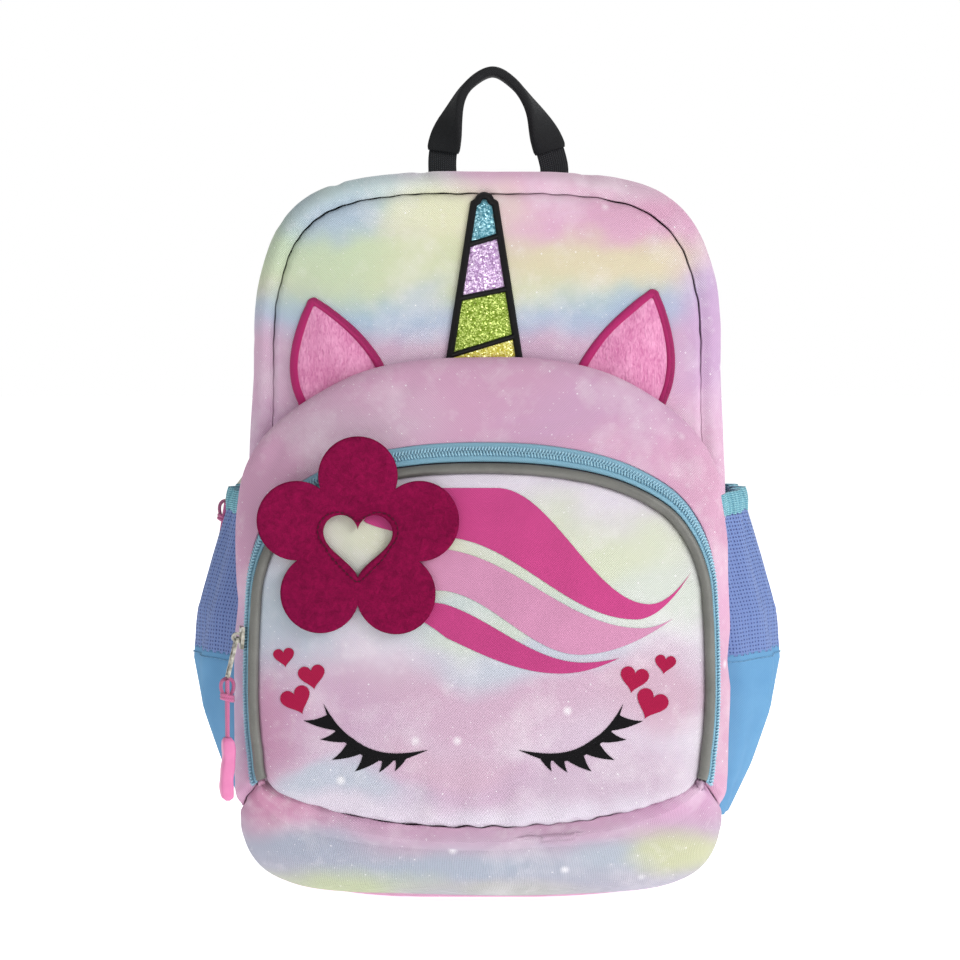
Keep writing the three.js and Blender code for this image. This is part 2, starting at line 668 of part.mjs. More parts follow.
for (const [name, side] of [["right", 1], ["left", -1]]) {
  const puff = (a, b) => APPLIQUE + EAR_PAD * (1 - a * a) * (1 - (2 * b - 0.8) ** 2 / 1.5);
  const across = spans(-1, 1, 4);
  addMesh(`ear_trim_${name}`,
    applique(frontDome, earMap(side, 0), across, spans(0, 1, 6), SEATED, APPLIQUE), TRIM_MAGENTA);
  addMesh(`ear_plush_${name}`,
    applique(frontDome, earMap(side, EAR_TRIM), across, spans(0, 1, 5), STACKED, puff), PLUSH_PINK);
}

// The felt flower: five round petals about a heart shaped hole.
const PETALS = 5;
function petalEdge(angle) {
  const reaches = spans(0, PETALS - 1, PETALS - 1).map((k) => {
    const off = angle - Math.PI / 2 - (2 * Math.PI * k) / PETALS;
    const across = PETAL_ORBIT * Math.sin(off);
    const near = Math.max(0, PETAL_RADIUS ** 2 - across ** 2);
    return Math.cos(off) > 0 ? PETAL_ORBIT * Math.cos(off) + Math.sqrt(near) : 0;
  });
  return Math.max(...reaches);
}
function flowerPoint(angle, share) {
  const turn = Math.PI / 2 - angle;
  const heart = HEART_WIDTH / 32;
  const hx = heart * 16 * Math.sin(turn) ** 3;
  const lobes = 13 * Math.cos(turn) - 5 * Math.cos(2 * turn)
    - 2 * Math.cos(3 * turn) - Math.cos(4 * turn);
  const reach = petalEdge(angle);
  return [
    FLOWER_X + mix(hx, reach * Math.cos(angle), share),
    FLOWER_Z + mix(heart * lobes, reach * Math.sin(angle), share),
  ];
}
const flowerSteps = spans(0, 2 * Math.PI, 8 * PETALS).slice(1).map((angle) => angle + Math.PI / 2);
const overPiping = {
  depthAt: (x, z) => Math.min(faceDome.depthAt(x, z), FACE_Y - PIPING_DIAMETER / 2),
};
const flower = applique(overPiping, flowerPoint, flowerSteps, [0, 0.5, 1], 2 * SEATED, FELT, { ring: true });
addMesh("felt_flower", flower, FELT_MAGENTA);

// The side pockets: one swelling surface over the side panel, in a cloth foot, a mesh and an elastic binding.
const sideU = (z) => solve((u) => bodySide(u, 3).z, BASE_END - 2, ZIP_END + 4, z);
const swellAt = (share) => {
  const k = Math.max(1, SIDE_SWELL.findIndex(([height]) => height >= share));
  const [low, high] = [SIDE_SWELL[k - 1], SIDE_SWELL[k]];
  return mix(low[1], high[1], (share - low[0]) / (high[0] - low[0]));
};
function sidePocketPanel(side, fromZ, toZ, rows, thickness) {
  const face = (lift) => (a, z) => {
    const u = side * sideU(z);
    const t = mix(SIDE_REAR, SIDE_FRONT, a);
    const swell = SIDE_BULGE * swellAt((z - SIDE_LOW) / (SIDE_TOP - SIDE_LOW)) * Math.sin(Math.PI * a);
    return bodySkin(u, t).addScaledVector(skinNormal(bodySkin, u, t), SEATED + swell + lift);
  };
  return wall(face(thickness), face(0), spans(0, 1, 8), spans(fromZ, toZ, rows));
}
for (const [name, side] of [["right", 1], ["left", -1]]) {
  const meshTop = SIDE_TOP - BINDING_HEIGHT;
  addMesh(`side_pocket_base_${name}`,
    sidePocketPanel(side, SIDE_LOW, SIDE_SEAM - SEAM_GAP / 2, 4, CLOTH), POCKET_BLUE);
  addMesh(`side_pocket_mesh_${name}`,
    sidePocketPanel(side, SIDE_SEAM + SEAM_GAP / 2, meshTop - SEAM_GAP / 2, 4, MESH), MESH_BLUE);
  addMesh(`side_pocket_binding_${name}`,
    sidePocketPanel(side, meshTop + SEAM_GAP / 2, SIDE_TOP, 1, BINDING), BINDING_TEAL);
}

// The carry handle: webbing that faces forward at its feet and is turned edge on over the top, in a soft
// sleeve.
const handleT = ZIP_SECTION - zipT - 0.45;
const handleY = bodySide(BODY_TURN / 2, handleT).y;
const handleFoot = bodySide(BODY_TURN / 2, handleT).z + SEATED;
const handleCurve = new THREE.CatmullRomCurve3(HANDLE_ROUTE.map(([x, z]) =>
  V(mix(HANDLE_LEFT, HANDLE_RIGHT, x), handleY, handleFoot + HANDLE_RISE * z)));
function handleStation(f) {
  const tangent = handleCurve.getTangentAt(f);
  const inPlane = tangent.clone().cross(V(0, 1, 0));
  const turn = (Math.PI / 2) * THREE.MathUtils.smoothstep(Math.sin(Math.PI * f), 0.25, 1);
  const across = inPlane.multiplyScalar(Math.cos(turn)).add(V(0, Math.sin(turn), 0));
  return { centre: handleCurve.getPointAt(f), across, out: tangent.cross(across) };
}
const webbingStations = spans(0, 1, HANDLE_STEPS).map((f) => ({
  ...handleStation(f),
  section: bandSection(HANDLE_WEBBING_WIDTH, WEBBING),
}));
addMesh("handle_webbing", carried(webbingStations), WEB_BLACK);
function sleeveFace(margin) {
  const section = paddedSection(HANDLE_WEBBING_WIDTH + 2 * margin, WEBBING + 2 * margin);
  return (k, step) => {
    const { centre, across, out } = handleStation(step / HANDLE_STEPS);
    return centre.addScaledVector(across, section[k][0]).addScaledVector(out, section[k][1]);
  };
}
const sleeveRoom = SLEEVE_SLACK + WEBBING / 2;
const sleeveEnd = HANDLE_STEPS - SLEEVE_END_STEPS;
const sleeveSteps = spans(SLEEVE_END_STEPS, sleeveEnd, sleeveEnd - SLEEVE_END_STEPS);
const sleeve = wall(sleeveFace(sleeveRoom + SLEEVE_WALL), sleeveFace(sleeveRoom), spans(0, 7, 7), sleeveSteps,
  { ring: true });
addMesh("handle_sleeve", sleeve, WEB_BLACK, { roughness: 0.7 });

// The shoulder straps: padding with a tongue folded about the ladder lock's upper bar, and webbing folded
// about its lower bar, with a tail outside and its other end sewn in at the base corner. p runs down the strap
// from the lock's middle and q away from the bag.
const barPlace = LOCK_HEIGHT / 2 - LOCK_BAR / 2;
const foldRadius = Math.hypot(LOCK_BAR, LOCK_THICKNESS) / 2 + SEAM_GAP + WEBBING / 2;
const foldAngles = spans(Math.PI / 2, -Math.PI / 2, 6);

function strapCurve(side) {
  const points = STRAP_ROUTE.map(([x, behind, z], k) => {
    const thickness = k / STRAP_ROUTE.length < LOCK_PLACE ? STRAP_THICKNESS : WEBBING;
    const [px, pz] = [side * BAG_HALF_WIDTH * x, BAG_HEIGHT * z];
    return V(px, backDome.depthAt(px, pz) + thickness / 2 + SEATED + STRAP_STANDOFF * behind, pz);
  });
  return new THREE.CatmullRomCurve3(points);
}
function curveStation(curve, f, section) {
  const tangent = curve.getTangentAt(f);
  const across = V(1, 0, 0).addScaledVector(tangent, -tangent.x).normalize();
  return { centre: curve.getPointAt(f), tangent, across, out: across.clone().cross(tangent), section };
}
function lockStations(lock, points, section) {
  const places = points.map(([p, q]) =>
    lock.centre.clone().addScaledVector(lock.tangent, p).addScaledVector(lock.out, q));
  return places.map((centre, k) => {
    const ahead = places[Math.min(k + 1, places.length - 1)];
    const tangent = ahead.clone().sub(places[Math.max(k - 1, 0)]).normalize();
    return { centre, across: lock.across, out: lock.across.clone().cross(tangent), section: section(k) };
  });
}
function lockFrame() {
  const half = STRAP_WEBBING_WIDTH / 2 + RUNNING_GAP;
  const shape = new THREE.Shape();
  const rectangle = (path, w, low, high) => {
    path.moveTo(-w, low);
    path.lineTo(w, low);
    path.lineTo(w, high);
    path.lineTo(-w, high);
    path.closePath();
    return path;
  };
  rectangle(shape, half + LOCK_RAIL, -LOCK_HEIGHT / 2, LOCK_HEIGHT / 2);
  const [near, far] = [LOCK_BAR / 2, barPlace - LOCK_BAR / 2];
  shape.holes.push(rectangle(new THREE.Path(), half, near, far));
  shape.holes.push(rectangle(new THREE.Path(), half, -far, -near));
  return plate(shape, LOCK_THICKNESS);
}

// A shape extruded to a plate about its own plane.
function plate(shape, thickness) {
  const settings = { depth: thickness, bevelEnabled: false, curveSegments: 8 };
  const geometry = new THREE.ExtrudeGeometry(shape, settings);
  geometry.translate(0, 0, -thickness / 2);
  geometry.deleteAttribute("normal");
  geometry.deleteAttribute("uv");
  return mergeVertices(geometry);
}

for (const [name, side] of [["right", 1], ["left", -1]]) {
  const curve = strapCurve(side);
  const length = curve.getLength();
  const lock = curveStation(curve, LOCK_PLACE, null);
  const along = (p) => LOCK_PLACE + p / length;
  const tongue = paddedSection(STRAP_WEBBING_WIDTH, WEBBING);
  const neck = paddedSection(STRAP_WIDTH * 0.6, 2 * WEBBING);
  const padEnd = along(-(barPlace + TONGUE + STRAP_THICKNESS));
  const padding = spans(0, padEnd, 14).map((f) =>
    curveStation(curve, f, paddedSection(STRAP_WIDTH * mix(1, 0.8, f / padEnd), STRAP_THICKNESS)));
  const upperFold = [
    [-barPlace - TONGUE - 3, foldRadius * 0.5],
    [-barPlace - TONGUE / 2, foldRadius],
    ...foldAngles.map((angle) => [-barPlace + foldRadius * Math.cos(angle), foldRadius * Math.sin(angle)]),
    [-barPlace - TONGUE, -foldRadius],
  ];
  addMesh(`shoulder_strap_${name}`,
    carried([...padding, ...lockStations(lock, upperFold, (k) => (k === 0 ? neck : tongue))]), WEB_BLACK);
  const lowerFold = [
    [barPlace + WEBBING_TAIL, foldRadius],
    ...foldAngles.map((angle) => [barPlace - foldRadius * Math.cos(angle), foldRadius * Math.sin(angle)]),
    [barPlace + foldRadius * 2, -foldRadius],
  ];
  const band = bandSection(STRAP_WEBBING_WIDTH, WEBBING);
  const run = spans(along(LOCK_HEIGHT * 1.2), 1, 9).map((f) => curveStation(curve, f, band));
  const webbing = carried([...lockStations(lock, lowerFold, () => band), ...run]);
  addMesh(`strap_webbing_${name}`, webbing, WEB_BLACK);
  const basis = new THREE.Matrix4().makeBasis(lock.across, lock.tangent, lock.out);
  const frame = addMesh(`ladder_lock_${name}`, lockFrame(), WEB_BLACK, { roughness: 0.45 });
  frame.quaternion.setFromRotationMatrix(basis);
  frame.position.copy(lock.centre);
}

// A zip pull: a slider on the coil, a tab hinged in its bridge, two strands of cord and a grip. In the
// slider's frame x is the hinge's axis, y is up the zip and z stands off the cloth.
function solidOf(geometry) {
  return new wasm.Manifold(new wasm.Mesh({
    numProp: 3,
    vertProperties: geometry.attributes.position.array,
    triVerts: Uint32Array.from(geometry.index.array),
  }));
}
const holeRadius = Math.hypot(TAB_RIM, TAB_THICKNESS) / 2 + RUNNING_GAP;
const bridgeRadius = holeRadius + BRIDGE_BAR;
const hingeHeight = SLIDER_PLATE + holeRadius + SEAM_GAP;

function sliderSolid() {
  const [w, h] = [SLIDER_WIDTH / 2, SLIDER_LENGTH / 2];
  const corners = [[-w, h], [-w, 0], [-w * 0.7, -h], [w * 0.7, -h], [w, 0], [w, h], [0, h * 0.8]];
  const outline = new THREE.Shape(corners.map(([x, y]) => new THREE.Vector2(x, y)));
  const body = plate(outline, SLIDER_PLATE).translate(0, 0, SLIDER_PLATE / 2);
  const arch = new THREE.Shape();
  arch.moveTo(-bridgeRadius, SLIDER_PLATE / 2);
  arch.lineTo(bridgeRadius, SLIDER_PLATE / 2);
  arch.lineTo(bridgeRadius, hingeHeight);
  arch.absarc(0, hingeHeight, bridgeRadius, 0, Math.PI, false);
  arch.closePath();
  arch.holes.push(new THREE.Path().absarc(0, hingeHeight, holeRadius, 0, 2 * Math.PI, true));
  const upright = new THREE.Matrix4().makeBasis(V(0, 1, 0), V(0, 0, 1), V(1, 0, 0));
  const bridge = plate(arch, BRIDGE_WIDTH).applyMatrix4(upright);
  const joined = solidOf(body).add(solidOf(bridge)).getMesh();
  return new THREE.BufferGeometry()
    .setAttribute("position", new THREE.BufferAttribute(Float32Array.from(joined.vertProperties), 3))
    .setIndex(Array.from(joined.triVerts));
}
function tabSolid() {
  const [w, rim] = [TAB_WIDTH / 2, TAB_RIM];
  const ring = (path, half, top, bottom, corner) => {
    path.moveTo(-half, bottom + corner);
    path.lineTo(-half + corner, bottom);
    path.lineTo(half - corner, bottom);
    path.lineTo(half, bottom + corner);
    path.lineTo(half, top - corner);
    path.lineTo(half - corner, top);
    path.lineTo(-half + corner, top);
    path.lineTo(-half, top - corner);
    path.closePath();
    return path;
  };
  const shape = ring(new THREE.Shape(), w, rim / 2, rim / 2 - TAB_LENGTH, rim * 0.6);
  const crossbar = -bridgeRadius - RUNNING_GAP * 2;
  shape.holes.push(ring(new THREE.Path(), w - rim, -rim / 2, crossbar, rim * 0.1));
  shape.holes.push(ring(new THREE.Path(), w - rim, crossbar - rim, rim * 1.5 - TAB_LENGTH, rim * 0.5));
  return plate(shape, TAB_THICKNESS);
}
const GRIP_PROFILE = [[0.55, 0], [0.85, 0.05], [1, 0.16], [1, 0.84], [0.85, 0.95], [0.5, 1]];

function zipPull(name, seat, out, travel, lean, cordLean) {
  const axis = travel.clone().cross(out).normalize();
  const slider = new THREE.Group();
  slider.position.copy(seat).addScaledVector(out, COIL_HEIGHT + SEAM_GAP);
  slider.quaternion.setFromRotationMatrix(new THREE.Matrix4().makeBasis(axis, travel, out));
  bag.add(slider);
  const metal = { roughness: 0.35, metalness: 1 };
  addMesh(`${name}_slider`, sliderSolid(), METAL, { ...metal, parent: slider });
  const hinge = new THREE.Group();
  hinge.position.set(0, 0, hingeHeight);
  hinge.rotation.x = -THREE.MathUtils.degToRad(lean);
  slider.add(hinge);
  addMesh(`${name}_tab`, tabSolid(), METAL, { ...metal, parent: hinge });
  bag.updateMatrixWorld(true);
  const eye = hinge.localToWorld(V(0, TAB_RIM / 2 - TAB_LENGTH, 0));
  const fall = V(0, 0, -1).applyAxisAngle(axis, -THREE.MathUtils.degToRad(cordLean));
  const exit = eye.clone().addScaledVector(fall, CORD_DIAMETER / 2);
  for (const [strand, way] of [["a", -1], ["b", 1]]) {
    const route = CORD_BOW.map(([bow, drop]) =>
      exit.clone().addScaledVector(axis, way * CORD_DIAMETER * bow).addScaledVector(fall, CORD_DROP * drop));
    const ring = spans(0, 2 * Math.PI, 8).slice(1);
    const section = new THREE.Shape(ring.map((angle) =>
      new THREE.Vector2(Math.cos(angle), Math.sin(angle)).multiplyScalar(CORD_DIAMETER / 2)));
    const extrudePath = new THREE.CatmullRomCurve3(route);
    const tube = new THREE.ExtrudeGeometry(section, { steps: 7, extrudePath });
    tube.deleteAttribute("normal");
    tube.deleteAttribute("uv");
    addMesh(`${name}_cord_${strand}`, mergeVertices(tube), CORD_PINK);
  }
  const gripTop = exit.clone().addScaledVector(fall, CORD_DROP + SEAM_GAP);
  const grip = GRIP_PROFILE.map(([width, drop]) => ({
    centre: gripTop.clone().addScaledVector(fall, GRIP_LENGTH * drop),
    across: axis,
    out: fall.clone().cross(axis),
    section: paddedSection(GRIP_WIDTH * width, GRIP_THICKNESS * width),
  }));
  addMesh(`${name}_grip`, carried(grip), GRIP_PINK, { roughness: 0.5 });
}
const sloped = (vector, normal) => vector.addScaledVector(normal, -vector.dot(normal)).normalize();
const pocketZipT = ZIP_OUTER + 0.5;
const frontA = solve((a) => -upper(a, pocketZipT).z, 0.5, 1, -FRONT_SLIDER_Z);
const frontOut = skinNormal(upper, frontA, pocketZipT);
const frontAlong = upper(frontA - 0.01, pocketZipT).sub(upper(frontA + 0.01, pocketZipT));
const frontTravel = sloped(frontAlong, frontOut);
zipPull("front_pull", upper(frontA, pocketZipT), frontOut, frontTravel, FRONT_TAB_LEAN, 0);
const mainU = -sideU(MAIN_SLIDER_Z);
const mainOut = skinNormal(bodySkin, mainU, ZIP_SECTION);
const mainAlong = bodySkin(mainU - 0.05, ZIP_SECTION).sub(bodySkin(mainU + 0.05, ZIP_SECTION));
const mainTravel = sloped(mainAlong, mainOut);
zipPull("main_pull", bodySkin(mainU, ZIP_SECTION), mainOut, mainTravel, MAIN_TAB_LEAN, MAIN_CORD_LEAN);

export default bag;
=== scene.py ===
import bmesh
import bpy
import numpy as np
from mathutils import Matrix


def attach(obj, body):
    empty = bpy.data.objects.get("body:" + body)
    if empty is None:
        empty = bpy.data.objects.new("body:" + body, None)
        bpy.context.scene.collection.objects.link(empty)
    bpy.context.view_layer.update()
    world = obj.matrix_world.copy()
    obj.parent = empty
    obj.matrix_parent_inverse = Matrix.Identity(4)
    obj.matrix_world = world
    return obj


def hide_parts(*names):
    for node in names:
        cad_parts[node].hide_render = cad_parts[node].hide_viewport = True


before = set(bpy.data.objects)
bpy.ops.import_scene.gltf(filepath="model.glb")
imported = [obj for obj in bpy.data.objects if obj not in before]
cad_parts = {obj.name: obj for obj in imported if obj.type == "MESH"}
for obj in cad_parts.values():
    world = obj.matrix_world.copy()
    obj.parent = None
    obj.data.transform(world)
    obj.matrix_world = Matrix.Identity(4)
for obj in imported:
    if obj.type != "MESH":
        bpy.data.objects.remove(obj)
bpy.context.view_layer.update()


# The camera: a long lens 2.1 m in front of the bag, held three degrees above level.
# Its view is 536 mm wide at the middle of the bag.
VIEW_CENTRE = np.array([-0.0039, 0.0, 0.228])
VIEW_DISTANCE = 2.13
VIEW_ELEVATION = np.radians(3.2)
camera = bpy.data.objects.new("camera", bpy.data.cameras.new("camera"))
camera.data.lens = 143
camera.data.sensor_width = 36
camera.location = VIEW_CENTRE + VIEW_DISTANCE * np.array([0, -np.cos(VIEW_ELEVATION), np.sin(VIEW_ELEVATION)])
camera.rotation_euler = (np.pi / 2 - VIEW_ELEVATION, 0, 0)
bpy.context.collection.objects.link(camera)
bpy.context.scene.camera = camera
bpy.context.scene.view_settings.view_transform = "Standard"


# The pull cords: soft round polyester cord, 2 mm thick, braided.
# Each zip tab has one piece looped through its eye, whose two strands run down into the moulded grip.
CORD_DIAMETER = 0.002
CORD_PINK = "#dd74a6"
CORD_BRAID = 0.0011
CORD_ROUTES = {
    "front_pull_cord_a": [(-.13990, -.08670, .12555), (-.13992, -.08661, .12112), (-.13996, -.08644, .11669),
                          (-.14001, -.08622, .11227), (-.14001, -.08622, .10784), (-.13996, -.08644, .10341),
                          (-.13992, -.08661, .09898), (-.13990, -.08670, .09455)],
    "front_pull_cord_b": [(-.13931, -.08936, .12553), (-.13929, -.08944, .12110), (-.13925, -.08962, .11668),
                          (-.13920, -.08984, .11225), (-.13920, -.08984, .10782), (-.13925, -.08962, .10339),
                          (-.13929, -.08944, .09896), (-.13931, -.08936, .09453)],
    "main_pull_cord_a": [(-.14785, .03834, .21346), (-.14852, .03852, .20909), (-.14918, .03880, .20471),
                         (-.14983, .03912, .20034), (-.15052, .03922, .19597), (-.15124, .03909, .19160),
                         (-.15195, .03901, .18722), (-.15265, .03902, .18285)],
    "main_pull_cord_b": [(-.14823, .03565, .21348), (-.14893, .03565, .20910), (-.14964, .03558, .20473),
                         (-.15035, .03545, .20035), (-.15104, .03554, .19598), (-.15169, .03587, .19161),
                         (-.15235, .03614, .18723), (-.15303, .03633, .18286)],
}


def unit(vectors):
    """Vectors divided by their lengths."""
    return vectors / np.maximum(np.linalg.norm(vectors, axis=-1, keepdims=True), 1e-12)


def lengths(points, axis):
    """How far along a grid each point lies: the sum of the steps from its first row or column."""
    steps = np.linalg.norm(np.diff(points, axis=axis), axis=-1)
    start = np.zeros_like(np.take(steps, [0], axis))
    return np.concatenate([start, np.cumsum(steps, axis)], axis)


def catmull(rows, at):
    """A table read at places along it by a Catmull-Rom curve, which passes each row with the slope of the chord
    between that row's neighbours."""
    rows = np.asarray(rows, float)
    last = len(rows) - 1
    i = np.clip(np.floor(at).astype(int), 0, last - 1)
    a, b, c, d = (rows[np.clip(i + k, 0, last)] for k in (-1, 0, 1, 2))
    f = (at - i)[..., None]
    return b + 0.5 * f * (c - a + f * (2 * a - 5 * b + 4 * c - d + f * (3 * (b - c) + d - a)))


def smooth_path(points, count):
    """A path through a few points, read at even places along its table."""
    return catmull(points, np.linspace(0, len(points) - 1, count))


def ring(sides):
    """The points of a closed circle of radius 1, the first again at its end."""
    angle = np.linspace(0, 2 * np.pi, sides + 1)
    return np.stack([np.cos(angle), np.sin(angle)], -1)


def carried(path, section, side=(0, 1, 0)):
    """A profile carried along a path: each point is the path's point plus the profile's two numbers times two
    directions, one square to the path and to side, and one square to both."""
    path = np.asarray(path, float)
    tangent = unit(np.gradient(path, axis=0))
    across = unit(np.cross(np.broadcast_to(side, path.shape), tangent))
    out = np.cross(tangent, across)
    section = np.broadcast_to(section, (len(path), *np.shape(section)[-2:]))
    return path[:, None] + section[..., :1] * across[:, None] + section[..., 1:] * out[:, None]


def capped(grid):
    """A tube's grid with its ends drawn in to their middles."""
    ends = [np.broadcast_to(grid[k].mean(0), grid[k].shape)[None] for k in (0, -1)]
    return np.concatenate([ends[0], grid, ends[1]])


def piece(name, grids, material, slot, body="bag", nodes=(), inside=None, wall=0):
    """An object of grids of points. Quads join neighbouring points, doubles are merged and faces point away from
    inside, or out of a closed shape. Its UV map is in metres along the grid's columns and rows. A wall grows
    inwards from the grid."""
    grids = grids if isinstance(grids, list) else [grids]
    corners, quads, uvs = [], [], []
    for grid in grids:
        count, columns = grid.shape[:2]
        first = sum(len(c) for c in corners)
        start = first + np.arange(count - 1)[:, None] * columns + np.arange(columns - 1)
        corners.append(grid.reshape(-1, 3))
        quads.append(np.stack([start, start + 1, start + columns + 1, start + columns], -1).reshape(-1, 4))
        uvs.append(np.stack([lengths(grid, 1), lengths(grid, 0)], -1).reshape(-1, 2))
    corners, quads, uvs = (np.concatenate(part) for part in (corners, quads, uvs))
    mesh = bpy.data.meshes.new(name)
    mesh.from_pydata(corners, [], quads.tolist())
    mesh.uv_layers.new(name="UVMap").data.foreach_set("uv", uvs[quads.ravel()].ravel())
    work = bmesh.new()
    work.from_mesh(mesh)
    bmesh.ops.remove_doubles(work, verts=work.verts, dist=1e-6)
    bmesh.ops.dissolve_degenerate(work, dist=1e-7, edges=work.edges)
    if inside is None:
        bmesh.ops.recalc_face_normals(work, faces=work.faces)
    work.to_mesh(mesh)
    work.free()
    if inside is not None:
        centres, normals, areas = (np.zeros(k * len(mesh.polygons)) for k in (3, 3, 1))
        for what, values in (("center", centres), ("normal", normals), ("area", areas)):
            mesh.polygons.foreach_get(what, values)
        away = (centres.reshape(-1, 3) - inside) * normals.reshape(-1, 3)
        if (away.sum(1) * areas).sum() < 0:
            mesh.flip_normals()
    mesh.shade_smooth()
    mesh.materials.append(material)
    made = bpy.data.objects.new(name + "_finished" if nodes else name, mesh)
    bpy.context.collection.objects.link(made)
    if wall:
        thick = made.modifiers.new("wall", "SOLIDIFY")
        thick.thickness = wall
        thick.offset = -1
    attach(made, body)
    if nodes:
        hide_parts(*nodes)
    return made


def paint(code):
    """A colour written as a hexadecimal number, in linear light."""
    shares = np.array([int(code[k:k + 2], 16) for k in (1, 3, 5)]) / 255
    return (*np.where(shares < 0.04045, shares / 12.92, ((shares + 0.055) / 1.055) ** 2.4), 1)


def finish_of(name, colour, roughness, **sockets):
    """A new material, with the values that are the same all over it set on the shader's own sockets."""
    material = bpy.data.materials.new(name)
    material.use_nodes = True
    shader = material.node_tree.nodes["Principled BSDF"]
    shader.inputs["Base Color"].default_value = paint(colour)
    shader.inputs["Roughness"].default_value = roughness
    for socket, value in sockets.items():
        shader.inputs[socket.replace("_", " ")].default_value = value
    return material


def node(material, kind, inputs=(), **settings):
    """A shader node with its settings and its inputs, each a value or another node's output."""
    made = material.node_tree.nodes.new("ShaderNode" + kind)
    for key, value in settings.items():
        setattr(made, key, value)
    for key, value in dict(inputs).items():
        if isinstance(value, bpy.types.NodeSocket):
            material.node_tree.links.new(value, made.inputs[key])
        else:
            made.inputs[key].default_value = value
    return made.outputs


def sums(material, operation, *values):
    """One step of arithmetic in a material."""
    return node(material, "Math", enumerate(values), operation=operation)[0]


def vector_sums(material, operation, *values):
    """One step of arithmetic on coordinates or colours."""
    return node(material, "VectorMath", enumerate(values), operation=operation)[0]


def place_on(material, kind="Object", scale=(1, 1, 1)):
    """Coordinates on a piece, in metres times scale."""
    return vector_sums(material, "MULTIPLY", node(material, "TexCoord")[kind], scale)


def feed(material, value, socket):
    """Runs a node's output into the material's shader."""
    material.node_tree.links.new(value, material.node_tree.nodes["Principled BSDF"].inputs[socket])


def raise_by(material, height, distance):
    """Makes the surface look raised by a height of 0 to 1 times distance."""
    feed(material, node(material, "Bump", {"Height": height, "Distance": distance, "Strength": 1.0})[0], "Normal")


def laid_over(material, share, under, top):
    """One colour laid over another by a share of 0 to 1."""
    return node(material, "Mix", {"Factor": share, 6: under, 7: top}, data_type="RGBA")[2]


def tint(material, share, light, dark):
    """Runs the colour from dark to light by a share of 0 to 1."""
    feed(material, laid_over(material, share, paint(dark), paint(light)), "Base Color")


def surfaced(material, height, distance, share, light, dark):
    """A material raised by a height and tinted by a share."""
    raise_by(material, height, distance)
    tint(material, share, light, dark)
    return material


def crossed(material, x, y, turns):
    """Two sine waves that cross on the slant: one of x plus y and one of x less y."""
    return [sums(material, "SINE", sums(material, "MULTIPLY", sums(material, way, x, y), turns))
            for way in ("ADD", "SUBTRACT")]


def braid_cord():
    """Braided cord: two waves that cross on the UV map, raised, with a painted highlight on their crests and painted
    shade between them.
    """
    material = finish_of("pull_cord", CORD_PINK, 0.6, Sheen_Weight=0.3)
    uv = place_on(material, "UV", (1 / CORD_BRAID, 1 / CORD_BRAID, 1))
    x, y, _ = node(material, "SeparateXYZ", {0: uv})
    crest = sums(material, "MULTIPLY_ADD", sums(material, "MAXIMUM", *crossed(material, x, y, 2 * np.pi)), 0.5, 0.5)
    # Painted highlight and shade: the crests' height also runs the colour from dark between the strands to light on
    # top.
    return surfaced(material, crest, 0.0003, crest, CORD_PINK, "#b85083")


cord_finish = braid_cord()
pull_cords = {}
for name, route in CORD_ROUTES.items():
    line = smooth_path(route, 24)
    strand = carried(line, ring(12) * CORD_DIAMETER / 2)
    pull_cords[name] = (
        piece(name, capped(strand), cord_finish, "pull_cord", body=name[:-7], nodes=[name]), line)


# The bag's body: printed polyester, 2 mm thick with its lining, cut as a front, a top gusset, two sides and a base.
# The panels are sewn edge to edge inside out, so each edge rolls in at its seam and puckers a little along it.
BAG_HEIGHT = 0.397
BAG_HALF_WIDTH = 0.134
BAG_DEPTH = 0.1
FRONT_DOME = 0.013
BACK_DOME = 0.007
CLOTH = 0.002
THREAD = 0.00135
SEAM_GAP = 0.0003
SEAM_ROLL = 0.0026
SEAM_WIDTH = 0.003
ZIP_WIDTH = 0.01
# Half of the outline, from the middle of the base up the right side to the top: x and z as shares of the size.
BODY_OUTLINE = [
    (0, 0), (.34, 0), (.62, .009), (.83, .03), (.935, .06), (.985, .1), (1, .17), (.995, .27), (.985, .43),
    (.972, .58), (.96, .7), (.95, .81), (.925, .867), (.86, .925), (.74, .967), (.56, .99), (.3, 1), (0, 1),
]
# Sections from the back seam to the front seam: y, half width, lowest and highest z as shares of the size.
BODY_SECTIONS = [
    (.52, .94, .01, .982), (.46, .972, 0, .996), (.32, .994, 0, 1), (.14, 1, 0, 1),
    (-.06, 1, 0, 1), (-.25, .99, 0, .999), (-.38, .965, 0, .992), (-.455, .925, .012, .979),
]
FRONT_SEAM = 7
BODY_TURN = 34
BASE_END = 5
ZIP_END = 8
ZIP_SECTION = 1.85
# The dye: x, z, half width and half height of each soft patch, and its colour.
BODY_DYE = [
    (0.00, .100, .30, .100, "#d3b6c8"),
    (0.00, .205, .30, .075, "#d0a9c1"),
    (-.12, .240, .09, .060, "#caa7c2"),
    (0.00, .296, .22, .030, "#ccadc4"),
    (-.01, .322, .10, .022, "#adbdd3"),
    (-.09, .322, .08, .022, "#a8c0d2"),
    (0.08, .328, .09, .022, "#a6bcd2"),
    (-.02, .345, .15, .026, "#d1d9b2"),
    (-.10, .352, .07, .036, "#c6d5b4"),
    (0.07, .352, .08, .020, "#dbd0b1"),
    (-.06, .385, .07, .032, "#b5cdce"),
    (-.12, .378, .05, .034, "#bccfb6"),
    (0.12, .380, .10, .026, "#cf9fb8"),
    (0.08, .396, .06, .014, "#d2b4c5"),
    (-.015, .372, .05, .026, "#dfe0bd"),
    (-.085, .372, .034, .020, "#aebfd0"),
    (0.13, .310, .05, .070, "#c1a0c4"),
]
CLOTH_GROUND = "#deb0cb"


